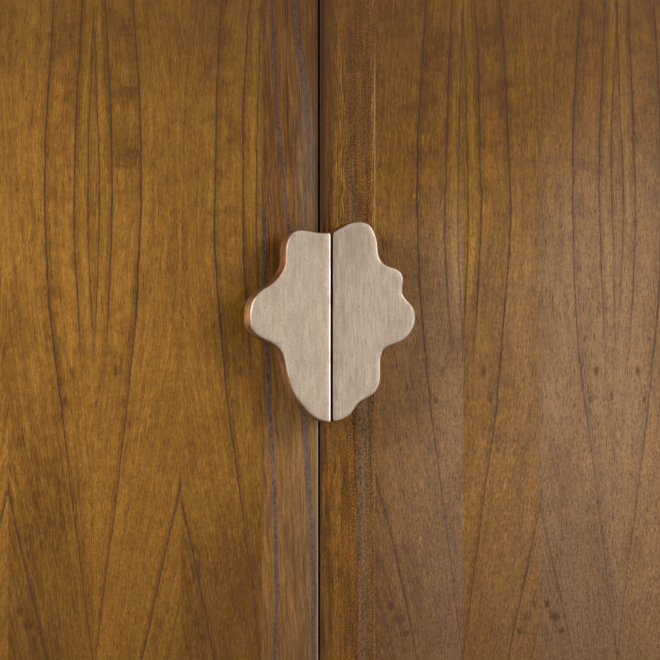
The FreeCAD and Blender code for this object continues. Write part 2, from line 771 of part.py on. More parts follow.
def build():
    """Every node of the sideboard: name to one shape or a list of separate solids."""
    nodes = {}
    ring = case_ring()
    mortises = both_sides([case_leaf_mortise(z, up) for z, up, _ in hinge_levels()])
    screws_of_hinges = both_sides(case_hinge_screws())
    screws_of_back = back_screws()
    grooves = all_splines(spline_fit)
    slots = partition_tenons(tenon_fit, tenon_end_fit)
    end_tools = mortises + screws_of_hinges + screws_of_back + grooves + slots

    nodes["top_panel"] = cut_all(ring.common(mitre_wedge("top")),
                                 end_tools + both_sides(catch_screws()))
    nodes["bottom_panel"] = cut_all(ring.common(mitre_wedge("bottom")), end_tools)
    left_side = cut_all(ring.common(mitre_wedge("left")),
                        grooves + screws_of_back + shelf_holes(-inner_half, -1))
    nodes["left_side_panel"] = left_side
    nodes["right_side_panel"] = mirrored(left_side)
    partition = block(-partition_half, partition_half, partition_front_y, back_front_y,
                      inner_bottom, inner_top)
    nodes["centre_partition"] = cut_all(
        partition, slots + screws_of_back
        + shelf_holes(-partition_half, 1) + shelf_holes(partition_half, -1))
    nodes["back_panel"] = back_panel()
    nodes["mitre_splines"] = all_splines()
    nodes["partition_tenons"] = partition_tenons()
    nodes["back_panel_screws"] = screws_of_back

    nodes["left_shelf"] = left_shelf_board()
    nodes["right_shelf"] = mirrored(left_shelf_board())
    nodes["left_shelf_lipping"] = left_shelf_lipping()
    nodes["right_shelf_lipping"] = mirrored(left_shelf_lipping())
    nodes["shelf_pins"] = both_sides(left_shelf_pins())

    rail_slots = rail_tenons(tenon_fit, tenon_end_fit)
    nails = glide_nails()
    for name, (x0, x1, y0, y1) in rail_spans().items():
        rail = block(x0, x1, y0, y1, rail_bottom, case_bottom)
        nodes[name] = cut_all(rail, rail_slots + nails)
    nodes["plinth_tenons"] = rail_tenons()
    nodes["plinth_glue_blocks"] = glue_blocks()
    nodes["glides"] = glides()
    nodes["glide_nails"] = nails

    nodes["case_hinge_leaves"] = both_sides(case_hinge_leaves())
    nodes["case_hinge_screws"] = both_sides(case_hinge_screws())
    nodes["catch_bodies"] = both_sides([left_catch_body()])
    nodes["catch_magnets"] = both_sides([left_catch_magnet()])
    nodes["catch_screws"] = both_sides(catch_screws())
    nodes["door_bumpers"] = bumpers()

    for side, hand, first_shares, shares in (
            (-1, "left", left_leaf_shares, left_outline_shares),
            (1, "right", right_leaf_shares, right_outline_shares)):
        nodes.update(door_nodes(side, hand, first_shares))
        nodes[hand + "_door_hinge_leaves"] = [on_side(side, leaf) for leaf in door_hinge_leaves()]
        nodes[hand + "_door_hinge_screws"] = [on_side(side, screw)
                                              for screw in door_hinge_screws()]
        nodes[hand + "_strike_plate"] = on_side(side, left_strike_plate())
        nodes[hand + "_strike_screw"] = on_side(side, strike_screw())
        nodes[hand + "_pull"] = pull_half(side, shares)
        nodes[hand + "_pull_screws"] = pull_screws(side)
    return nodes


def main():
    os.makedirs("parts", exist_ok=True)
    for name, pieces in build().items():
        shape = Part.makeCompound(pieces) if isinstance(pieces, list) else pieces
        shape.exportStep(os.path.join("parts", name + ".step"))


main()
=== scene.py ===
# %% [markdown]
# # A two-door sideboard with a split cast pull
#
# The photograph is a close view of two flush doors that meet at a narrow gap. They are faced
# with book-matched veneer, and one cast metal pull sits across the gap, half on each door.
# This lesson dresses the CAD model for that view and keeps the rest of the cabinet true from
# every side. Lengths are metres, +Z is up and the front faces -Y, as in the CAD model.

import math

import bmesh
import bpy
import numpy as np
from mathutils import Matrix, Vector, noise
from mathutils.geometry import delaunay_2d_cdt


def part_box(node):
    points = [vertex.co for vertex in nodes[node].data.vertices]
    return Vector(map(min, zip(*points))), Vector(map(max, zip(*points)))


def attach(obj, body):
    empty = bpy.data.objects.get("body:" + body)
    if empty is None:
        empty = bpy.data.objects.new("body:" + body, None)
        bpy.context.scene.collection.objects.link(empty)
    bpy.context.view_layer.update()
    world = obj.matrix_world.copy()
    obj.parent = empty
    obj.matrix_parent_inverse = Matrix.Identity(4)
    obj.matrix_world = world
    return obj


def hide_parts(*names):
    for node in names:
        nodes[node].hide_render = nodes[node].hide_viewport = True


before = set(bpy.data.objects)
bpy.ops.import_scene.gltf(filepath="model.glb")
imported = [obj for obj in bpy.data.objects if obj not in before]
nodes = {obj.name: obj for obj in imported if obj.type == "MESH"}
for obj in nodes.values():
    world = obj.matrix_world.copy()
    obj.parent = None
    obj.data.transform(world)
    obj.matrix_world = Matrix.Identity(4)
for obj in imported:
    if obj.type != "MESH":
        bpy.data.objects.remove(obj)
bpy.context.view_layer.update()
MM = 0.001

# %% [markdown]
# ## Writing nodes as calls
#
# A material is a small calculation. Linking its nodes by hand hides that, so this helper
# writes each node as a call that returns its output. Colours are given as a picture shows
# them, 0 to 255, and turned into the linear numbers that Blender mixes.

# %% Colours and the node helper
def shown(red, green, blue):
    """A colour as a picture shows it, in linear numbers."""
    def linear(value):
        share = value / 255
        return share / 12.92 if share <= 0.04045 else ((share + 0.055) / 1.055) ** 2.4
    return (linear(red), linear(green), linear(blue), 1.0)


class Graph:
    """Adds nodes to a tree; each call returns the new node's output."""

    def __init__(self, tree):
        self.tree = tree

    def node(self, kind, **settings):
        made = self.tree.nodes.new(kind)
        for name, value in settings.items():
            setattr(made, name, value)
        return made

    def feed(self, socket, value):
        if isinstance(value, bpy.types.NodeSocket):
            self.tree.links.new(value, socket)
        elif value is not None:
            socket.default_value = value

    def give(self, made, given):
        """Sets or links several inputs of a node by name."""
        for name, value in given.items():
            self.feed(made.inputs[name], value)
        return made

    def math(self, operation, a, b=None, c=None):
        made = self.node("ShaderNodeMath", operation=operation)
        for socket, value in zip(made.inputs, (a, b, c)):
            self.feed(socket, value)
        return made.outputs[0]

    def chain(self, operation, values):
        total = values[0]
        for value in values[1:]:
            total = self.math(operation, total, value)
        return total

    def add(self, *values):
        return self.chain("ADD", values)

    def times(self, *values):
        return self.chain("MULTIPLY", values)

    def most(self, *values):
        return self.chain("MAXIMUM", values)

    def minus(self, first, second):
        return self.math("SUBTRACT", first, second)

    def line(self, value, slope, start):
        return self.math("MULTIPLY_ADD", value, slope, start)

    def squared(self, value):
        return self.math("POWER", value, 2.0)

    def span(self, value, low, high, to_low=0.0, to_high=1.0):
        """Turns the range low to high into to_low to to_high, softly and with ends held."""
        made = self.node("ShaderNodeMapRange", interpolation_type="SMOOTHSTEP")
        for socket, given in zip(made.inputs, (value, low, high, to_low, to_high)):
            self.feed(socket, given)
        return made.outputs[0]

    def near(self, value, place, reach):
        """1 at a place, falling to 0 at reach on each side."""
        away = self.math("ABSOLUTE", self.minus(value, place))
        return self.span(away, 0.0, reach, 1.0, 0.0)

    def mix(self, factor, first, second, blend="MIX"):
        made = self.node("ShaderNodeMix", data_type="RGBA", blend_type=blend)
        self.feed(made.inputs[0], factor)
        self.feed(made.inputs[6], first)
        self.feed(made.inputs[7], second)
        return made.outputs[2]

    def coats(self, colour, *coats):
        """Lays colours over the first one. Each coat is a mask and its colour."""
        for mask, over in coats:
            colour = self.mix(mask, colour, over)
        return colour

    def deepen(self, colour, middle, power, tint):
        """More contrast about a middle colour, which turns into the middle times the tint."""
        made = self.give(self.node("ShaderNodeGamma"), {
            "Color": self.mix(1.0, colour, middle, "DIVIDE"), "Gamma": power})
        return self.mix(1.0, made.outputs[0], self.mix(1.0, middle, tint, "MULTIPLY"), "MULTIPLY")

    def split(self, vector):
        made = self.node("ShaderNodeSeparateXYZ")
        self.feed(made.inputs[0], vector)
        return made.outputs

    def join(self, x, y, z):
        made = self.node("ShaderNodeCombineXYZ")
        for socket, value in zip(made.inputs, (x, y, z)):
            self.feed(socket, value)
        return made.outputs[0]

    def noise(self, x, y, z, detail=2.0, roughness=0.5):
        """Soft noise about 0.5, with one feature to each unit of its coordinates."""
        made = self.give(self.node("ShaderNodeTexNoise"), {
            "Vector": self.join(x, y, z), "Scale": 1.0, "Detail": detail, "Roughness": roughness})
        return made.outputs["Fac"]

    def curve(self, value, low, high, points, handle="VECTOR"):
        """A line through a few (value, result) points, results from 0 to 1. It is straight
        between them, or bends softly with the handle AUTO."""
        made = self.node("ShaderNodeFloatCurve")
        line = made.mapping.curves[0]
        spots = [((place - low) / (high - low), result) for place, result in points]
        line.points[0].location, line.points[-1].location = spots[0], spots[-1]
        for spot in spots[1:-1]:
            line.points.new(*spot)
        for point in line.points:
            point.handle_type = handle
        made.mapping.update()
        self.feed(made.inputs["Value"], self.times(self.minus(value, low), 1 / (high - low)))
        return made.outputs[0]

    def bump(self, height, distance, strength):
        made = self.give(self.node("ShaderNodeBump"), {
            "Strength": strength, "Distance": distance, "Height": height})
        return made.outputs["Normal"]

    def group(self, tree, **given):
        return self.give(self.node("ShaderNodeGroup", node_tree=tree), given).outputs


print("half of white is", round(shown(128, 128, 128)[0], 3), "in linear numbers")

# %% Starting a group, a material and an object
def start_group(name, inputs, outputs):
    """An empty shader group with named numbers in and out."""
    tree = bpy.data.node_groups.new(name, "ShaderNodeTree")
    for label in inputs:
        tree.interface.new_socket(label, in_out="INPUT", socket_type="NodeSocketFloat")
    for label in outputs:
        tree.interface.new_socket(label, in_out="OUTPUT", socket_type="NodeSocketFloat")
    graph = Graph(tree)
    return tree, graph, graph.node("NodeGroupInput").outputs, graph.node("NodeGroupOutput").inputs


def start_material(name):
    """A material with its shader, and the piece's own coordinates in millimetres."""
    material = bpy.data.materials.new(name)
    material.use_nodes = True
    graph = Graph(material.node_tree)
    shader = material.node_tree.nodes["Principled BSDF"]
    scaled = graph.node("ShaderNodeVectorMath", operation="SCALE")
    graph.feed(scaled.inputs[0], graph.node("ShaderNodeTexCoord").outputs["Object"])
    scaled.inputs["Scale"].default_value = 1 / MM
    return material, graph, shader, graph.split(scaled.outputs[0])


def add_object(name, data):
    """A new object that shows the data, in the scene."""
    made = bpy.data.objects.new(name, data)
    bpy.context.scene.collection.objects.link(made)
    return made


print("helpers ready")

# %% [markdown]
# ## The camera
#
# The dark seam of the pull stands right of the door gap, though both are on the middle line.
# The pull is 40 mm proud, so that shift gives the angle: the camera is 16.5 degrees to the
# viewer's left. Upright lines stay upright and parallel, so it is level and far away.

# %% Camera at the photograph's angle
azimuth = math.radians(-16.5)
target = Vector((0.0099, -0.204, 0.4613))
distance = 4.95
camera_data = bpy.data.cameras.new("camera")
camera_data.lens = 300.0
camera_data.sensor_width = 36.0
camera = add_object("camera", camera_data)
camera.location = target + distance * Vector((math.sin(azimuth), -math.cos(azimuth), 0.0))
camera.rotation_euler = (math.radians(90.0), 0.0, azimuth)
bpy.context.scene.camera = camera
print("camera at", [round(value, 3) for value in camera.location])

# %% [markdown]
# ## Light, world and floor
#
# The pull has soft shadows on both sides and below, the deeper one on the left. So a lamp
# stands high on each side, and the right one, which stands more in front, lights the doors
# more. The right door carries a pale haze: most of it is a painted sheen in the colour of its
# finish, and a low panel adds a real one, because satin lacquer mirrors a panel only where the
# angle is right. A lamp behind shows the back. A dim even world fills the rest, and the floor
# is plain, so nothing colours the wood. The lamps fade with distance, so the floor shows a
# little more of its pale colour to the camera further out, and meets the white backdrop softly.

# %% Lamps, world and floor
def soft_lamp(name, place, aim, width, height, power, spread, colour=(1.0, 1.0, 1.0)):
    """A panel lamp whose spread keeps its light on the cabinet and off the floor beside it."""
    data = bpy.data.lights.new(name, "AREA")
    data.shape = "RECTANGLE"
    data.size, data.size_y = width, height
    data.energy = power
    data.spread = math.radians(spread)
    data.color = colour
    lamp = add_object(name, data)
    lamp.location = place
    lamp.rotation_euler = (Vector(aim) - Vector(place)).to_track_quat("-Z", "Y").to_euler()
    lamp.visible_camera = False


def seen_rays(g):
    """1 for rays from the camera, and for those that shine off metal or through glass."""
    rays = g.node("ShaderNodeLightPath").outputs
    return g.math("MINIMUM", 1.0, g.add(rays["Is Camera Ray"], rays["Is Glossy Ray"],
                                        rays["Is Transmission Ray"]))


backdrop_white = (1.0, 0.99, 0.975, 1.0)
floor_reach = 40
soft_lamp("key_lamp", (1.95, -2.5, 1.55), (0.0, -0.2, 0.45), 1.5, 1.1, 19.5, 100.0,
          (1.0, 0.98, 0.96))
soft_lamp("sheen_panel", (1.95, -2.7, 0.32), (0.1, -0.2, 0.34), 0.9, 0.5, 1.3, 70.0)
soft_lamp("left_lamp", (-2.6, -1.9, 1.35), (0.0, -0.1, 0.45), 0.9, 1.1, 22.0, 100.0)
soft_lamp("back_lamp", (-1.7, 3.4, 0.95), (0.0, 0.2, 0.45), 1.6, 0.9, 15.0, 100.0)

world = bpy.data.worlds.new("studio")
bpy.context.scene.world = world
world.use_nodes = True
g = Graph(world.node_tree)
backdrop = world.node_tree.nodes["Background"]
g.give(backdrop, {"Color": backdrop_white, "Strength": g.line(seen_rays(g), 0.93, 0.07)})

floor_mesh = bpy.data.meshes.new("floor")
floor_mesh.from_pydata([(x * floor_reach, y * floor_reach, 0)
                        for x, y in ((-1, -1), (1, -1), (1, 1), (-1, 1))], [], [(0, 1, 2, 3)])
floor = add_object("floor", floor_mesh)
material, g, shader, (x, y, z) = start_material("pale floor")
mottle = g.noise(g.times(x, 0.01), g.times(y, 0.01), 0.0, 3.0)
away = g.math("SQRT", g.add(g.squared(g.times(x, MM)), g.squared(g.times(y, MM))))
g.give(shader, {
    "Base Color": g.mix(mottle, shown(226, 225, 222), shown(234, 233, 230)), "Roughness": 0.85,
    "Emission Color": backdrop_white,
    "Emission Strength": g.times(seen_rays(g), g.span(away, 1.2, 5.0, 0.10, 0.62))})
floor_mesh.materials.append(material)
bpy.context.scene.view_settings.view_transform = "Standard"

# %% [markdown]
# ## Grain that every wood shares
#
# Wood is bundles of fibres along the tree. Cut open, its pores are short dark dashes, and
# between them the fibres catch light as pale flecks. Both are noise that is squeezed across
# the grain and drawn out along it. The colour bands follow the growth rings instead, which
# may lean. The group takes millimetres across the fibres, along them and across the rings,
# and a layer number, so that neighbouring leaves are alike but not the same.

# %% The wood grain group
wood_grain, g, given, out = start_group(
    "wood grain", ("Across", "Along", "Bands", "Layer"),
    ("Pores", "Flecks", "Grit", "Rays", "Clouds", "Hairs", "Threads", "Streaks", "Mottle"))
along, layer = given["Along"], given["Layer"]
sway = g.noise(g.times(given["Across"], 0.02), layer, g.times(along, 0.012), 2.0)
sway = g.times(g.minus(sway, 0.5), 9.0)
fibres, bands = g.add(given["Across"], sway), g.add(given["Bands"], sway)
# Each effect: what it follows, how many marks to a millimetre across and along, detail, and
# its soft limits
marks = {
    "Pores": (fibres, 1.30, 0.16, 2.0, 0.54, 0.72),
    "Flecks": (fibres, 1.10, 0.13, 2.0, 0.53, 0.74),
    "Grit": (fibres, 0.95, 0.40, 4.0, 0.34, 0.66),
    "Rays": (fibres, 0.24, 0.50, 2.0, 0.48, 0.80),
    "Clouds": (fibres, 0.05, 0.013, 2.0, 0.32, 0.68),
    "Hairs": (bands, 0.90, 0.036, 3.0, 0.34, 0.66),
    "Threads": (bands, 1.70, 0.055, 3.0, 0.38, 0.66),
    "Streaks": (bands, 0.26, 0.010, 3.0, 0.30, 0.70),
    "Mottle": (bands, 0.11, 0.09, 3.0, 0.34, 0.66),
}
for number, (label, (source, wide, tall, detail, low, high)) in enumerate(marks.items()):
    field = g.noise(g.times(source, wide), g.add(layer, 2.7 * number), g.times(along, tall), detail)
    g.feed(out[label], g.span(field, low, high))
print("group", wood_grain.name, "nodes", len(wood_grain.nodes))

# %% [markdown]
# ## Book-matching
#
# The leaves of face veneer come off one block like pages, and every second one is turned
# over, so the figure mirrors at each joint. The shader does the same: it measures the
# distance from the nearest joint of one kind, which folds one figure into all the leaves.
# The joints are read from the CAD leaves, so the fold always lies on a real joint.

# %% Read the joints and fold the leaves
leaf_width = 78.0               # of the leaf that would follow the last one
same_joint = 5.0                # edges nearer than this are one joint


def veneer_joints(node):
    """Millimetres from the meeting edge to each joint of a door's face veneer."""
    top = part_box(node)[1].z
    found = {round(abs(vertex.co.x) / MM, 1) for vertex in nodes[node].data.vertices
             if vertex.co.z > top - 0.1 * MM}
    first = min(found)
    places = [0.0]
    for place in sorted(found):
        if place - first - places[-1] > same_joint:
            places.append(place - first)
    return places[:-1]


def fold_group(name, joints, first_match):
    """Distance to the joint that a leaf mirrors at, and the leaf's number."""
    tree, g, given, out = start_group(name, ("Distance",), ("Across", "Leaf"))
    distance = given["Distance"]
    away = None
    for number in range(first_match, len(joints) + 1, 2):
        place = joints[number] if number < len(joints) else joints[-1] + leaf_width
        here = g.math("ABSOLUTE", g.minus(distance, place))
        if away is None:
            away = here
        else:
            past = g.math("GREATER_THAN", distance, joints[number - 1])
            away = g.add(g.times(away, g.minus(1.0, past)), g.times(here, past))
    leaf = 0.0
    for place in joints[1:]:
        leaf = g.add(leaf, g.math("GREATER_THAN", distance, place))
    g.feed(out["Across"], away)
    g.feed(out["Leaf"], leaf)
    return tree


left_joints = veneer_joints("left_door_face_veneer")
right_joints = veneer_joints("right_door_face_veneer")
left_fold = fold_group("left leaves", left_joints, 1)
right_fold = fold_group("right leaves", right_joints, 2)
print("left joints", left_joints, "right joints", right_joints)

# %% [markdown]
# ## The figure of the block
#
# Each leaf shows the same growth rings: almost straight in the upper half, then leaning
# towards the joint like a parabola, and faster the further they start from it. So the age
# of the wood is the distance from the joint plus a lean that grows with the square of the
# way below the waist, or above it. A thin dark line marks each ring. Soft bars across the
# grain are fiddleback, and a few small knots break the fibres.

# %% The flitch figure group
ring_waist = 578.0              # height where the rings are upright
lean_below, lean_above = 64.0, 83.0
lean_growth = 0.0178
# Each ring: its age in millimetres, half its width, its strength, and its share low down
rings = ((4.7, 1.5, 0.80, 0.1), (17.0, 1.5, 0.95, 0.15), (43.5, 1.6, 1.0, 1.0),
         (60.0, 1.1, 0.15, 1.0), (74.0, 1.1, 0.18, 1.0), (95.0, 1.2, 0.20, 1.0),
         (117.5, 2.4, 1.0, 1.0), (137.0, 1.5, 0.40, 1.0), (156.0, 1.6, 0.50, 1.0),
         (178.0, 1.7, 0.5, 1.0))
# Each knot: across, height, half its width, half its height
knots = ((20.0, 424.0, 2.4, 5.0), (60.0, 200.0, 5.0, 4.4), (54.0, 187.0, 3.2, 3.0),
         (68.0, 212.0, 3.0, 4.0), (26.0, 398.0, 2.0, 3.2))

flitch_figure, g, given, out = start_group(
    "flitch figure", ("Across", "Up", "Leaf"), ("Rings", "Shade", "Bars", "Knots", "Age"))
across, up, leaf = given["Across"], given["Up"], given["Leaf"]
below = g.most(g.minus(ring_waist, up), 0.0)
above = g.most(g.minus(up, ring_waist), 0.0)
lean = g.add(g.squared(g.times(below, 1 / lean_below)), g.squared(g.times(above, 1 / lean_above)))
drift = g.noise(g.times(across, 0.02), g.times(leaf, 0.9), g.times(up, 0.006), 1.0)
waver = g.noise(g.times(across, 0.09), g.times(leaf, 0.5), g.times(up, 0.05), 2.0)
age = g.add(across, g.times(lean, g.line(across, lean_growth, 1.0)),
            g.times(g.minus(drift, 0.5), 9.0), g.times(g.minus(waver, 0.5), 2.4))
lines, shades = [], []
for place, reach, strength, share in rings:
    strength = g.span(up, 400.0, 500.0, strength * share, strength)
    lines.append(g.times(g.near(age, place, reach), strength))
    shades.append(g.times(g.near(age, place - 2.5, 4.5), strength))
broken = g.noise(g.times(age, 0.35), g.times(leaf, 2.1), g.times(up, 0.35), 3.0, 0.7)
g.feed(out["Rings"], g.times(g.most(*lines), g.span(broken, 0.32, 0.52, 0.45, 1.0)))
g.feed(out["Shade"], g.most(*shades))
bars = g.noise(g.times(across, 0.035), g.times(leaf, 3.3), g.times(up, 0.05), 2.0)
fuzz = g.noise(g.times(across, 0.10), g.times(leaf, 1.3), g.times(up, 0.32), 3.0, 0.7)
g.feed(out["Bars"], g.times(g.span(g.add(bars, g.times(fuzz, 0.35)), 0.62, 0.92),
                            g.near(across, 33.0, 34.0), g.span(up, 470.0, 640.0, 0.35, 1.0)))
spots = []
ragged = g.noise(g.times(across, 0.5), leaf, g.times(up, 0.4), 1.0)
for place, height, wide, tall in knots:
    apart = g.math("SQRT", g.add(g.squared(g.times(g.minus(across, place), 1 / wide)),
                                 g.squared(g.times(g.minus(up, height), 1 / tall))))
    chance = g.give(g.node("ShaderNodeTexWhiteNoise", noise_dimensions="1D"), {
        "W": g.add(leaf, height)})
    spots.append(g.times(g.span(g.add(apart, ragged), 0.9, 1.9, 1.0, 0.0),
                         g.span(chance.outputs["Value"], 0.1, 0.6, 0.55, 1.0)))
g.feed(out["Knots"], g.most(*spots))
g.feed(out["Age"], age)
print("group", flitch_figure.name, "nodes", len(flitch_figure.nodes))

# %% [markdown]
# ## The finish of the doors
#
# The wood is a golden brown with dark pores, purple-brown ring lines and a satin lacquer.
# The narrow strips beside the gap come from other wood: the left one has a few wandering
# dark lines, the right one a fine straight ribbon with slanting marks. Their lines are a few
# measured places joined by a curve.

# %% Wandering lines of the narrow strips
lowest, highest = 100.0, 840.0
strip_reach = 60.0


def wandering_line(g, distance, up, points, reach):
    """A soft line through (height, distance) points, as a mask."""
    shares = [(height, place / strip_reach) for height, place in sorted(points)]
    place = g.times(g.curve(up, lowest, highest, shares, "AUTO"), strip_reach)
    wobble = g.times(g.minus(g.noise(3.0, 1.0, g.times(up, 0.05), 2.0), 0.5), 1.6)
    return g.near(distance, g.add(place, wobble), reach)


# Each line: its points, its reach, and the heights where it fades out and is full
left_lines = (
    (((840, 50), (758, 44), (659, 38.6), (560, 29), (440, 24), (300, 22), (100, 20)), 2.6,
     (400.0, 560.0)),
    (((840, 24), (740, 20), (659, 11), (590, 4), (440, 3), (300, 2), (100, 2)), 5.0,
     (560.0, 700.0)),
    (((840, 51), (578, 50), (506, 50), (452, 48), (371, 44.3), (236, 39), (164, 40.5),
      (100, 41)), 3.2, (640.0, 500.0)),
    (((840, 21), (600, 18), (371, 12), (263, 5.5), (164, 5.0), (100, 3)), 4.4, (450.0, 380.0)),
)
print("wandering lines", len(left_lines))

# %% The narrow strip of the left door
def left_strip(g, distance, z):
    """Leaning streaks, a grey bloom beside the gap, and wandering grey-purple lines."""
    leaned = g.line(g.minus(z, 460.0), -0.05, distance)
    grain = g.group(wood_grain, Across=distance, Along=z, Bands=leaned, Layer=9.0)
    low = g.span(z, 540.0, 400.0)
    tone = g.add(g.times(grain["Hairs"], 0.56), g.times(grain["Streaks"], 0.40),
                 g.times(grain["Clouds"], 0.20), g.times(low, 0.26), -0.18)
    glow = g.times(g.near(distance, 57.5, 4.0), g.span(z, 520.0, 640.0))
    bloom = g.times(g.near(distance, 9.0, 20.0), g.span(z, 730.0, 640.0), g.span(z, 440.0, 560.0))
    bloom = g.add(g.times(bloom, 0.44), g.times(g.span(distance, 60.0, 8.0, 0.3, 1.0), low, 0.26))
    grey = g.mix(grain["Grit"], shown(98, 80, 74), shown(58, 43, 40))
    lines = [(g.times(wandering_line(g, distance, z, points, reach), g.span(z, fade, full), 0.82),
              grey) for points, reach, (fade, full) in left_lines]
    return g.coats(
        g.mix(tone, shown(80, 48, 19), shown(156, 108, 44)),
        (g.times(grain["Mottle"], 0.18), shown(128, 74, 26)),
        (g.times(glow, 0.6), shown(170, 118, 38)),
        (g.times(grain["Threads"], 0.40), shown(74, 46, 22)),
        (g.times(grain["Grit"], 0.34), shown(70, 42, 18)),
        *lines,
        (g.times(bloom, g.span(grain["Threads"], 0.9, 0.1, 0.45, 1.0),
                 g.span(grain["Flecks"], 0.0, 0.5, 0.75, 1.2)), shown(140, 118, 92)))


print("left strip", left_joints[1], "mm wide")

# %% The narrow strip of the right door
def right_strip(g, distance, z):
    """Straight ribbon: bright and dark bands, with rope-like slanting marks."""
    grain = g.group(wood_grain, Across=distance, Along=z, Bands=distance, Layer=18.0)
    rope = g.noise(g.line(z, 0.34, g.times(distance, 0.90)), 3.0,
                   g.line(distance, -0.30, g.times(z, 0.55)), 2.0, 0.6)
    tone = g.add(g.times(grain["Hairs"], 0.44), g.times(grain["Streaks"], 0.44),
                 g.times(grain["Mottle"], 0.16), -0.02)
    bright = g.most(g.times(g.near(distance, 18.0, 11.0), g.span(z, 860.0, 640.0, 0.4, 1.0),
                            g.span(z, 440.0, 500.0)),
                    g.times(g.near(distance, 15.0, 9.0), g.span(z, 430.0, 340.0), 0.6),
                    g.times(g.near(distance, 50.0, 6.0), g.span(z, 420.0, 560.0)))
    streak = g.times(g.span(grain["Threads"], 0.50, 0.15),
                     g.span(grain["Hairs"], 0.75, 0.35, 0.2, 1.0))
    ribbon = g.span(distance, 18.0, 30.0, 0.35, 1.0)
    grey = g.add(g.times(g.near(distance, 39.0, 6.0), g.span(z, 480.0, 380.0), 0.42),
                 g.times(g.near(distance, 29.5, 4.0), g.span(z, 640.0, 560.0),
                         g.span(z, 420.0, 520.0), 0.40),
                 g.times(g.span(distance, 30.0, 50.0), g.span(z, 520.0, 420.0), 0.18))
    edge = g.times(g.near(distance, right_joints[1] - 0.5, 1.0), g.span(z, 500.0, 600.0, 0.15, 0.5))
    return g.coats(
        g.mix(tone, shown(68, 40, 14), shown(138, 90, 34)),
        (g.times(bright, streak, 0.95), shown(170, 119, 50)),
        (g.times(ribbon, g.span(rope, 0.50, 0.64), 0.55), shown(152, 106, 50)),
        (g.times(ribbon, g.span(rope, 0.50, 0.36), 0.50), shown(50, 31, 16)),
        (g.times(grey, g.span(grain["Grit"], 0.75, 0.25, 0.3, 1.0)), shown(122, 101, 82)),
        (g.times(grain["Grit"], 0.34), shown(54, 32, 14)),
        (g.times(edge, g.span(z, 740.0, 680.0)), shown(170, 134, 96)))


print("right strip", right_joints[1], "mm wide")

# %% [markdown]
# ## From the strips to a whole door
#
# Coats of colour lie over each other, each where its mask says: first the tone of the wood,
# then golden and dark figure, the pale haze, which is a painted sheen, pores and flecks, and
# the rings last. The strip beside the gap takes its own coats. At the end the colours get more
# contrast, painted shade darkens the doors towards top and bottom and beside the gap, and a
# painted highlight lies along the left door's meeting edge low down.

# %% The finish of a whole door
half_gap = 1.1                  # from the middle line to the door's meeting edge
door_reach = 620.0              # a little past the door's hinge edge


def lacquer(g, shader, wood, grain, dull_pores, roughness, specular, coat, coat_roughness):
    """Satin lacquer over a wood: rougher in the pores, which are sunk a little."""
    relief = g.minus(g.times(grain["Streaks"], 0.3), grain["Pores"])
    g.give(shader, {
        "Base Color": wood, "Roughness": g.line(grain["Pores"], dull_pores, roughness),
        "Specular IOR Level": specular, "Coat Weight": coat, "Coat Roughness": coat_roughness,
        "Normal": g.bump(relief, 0.00006, 0.6)})


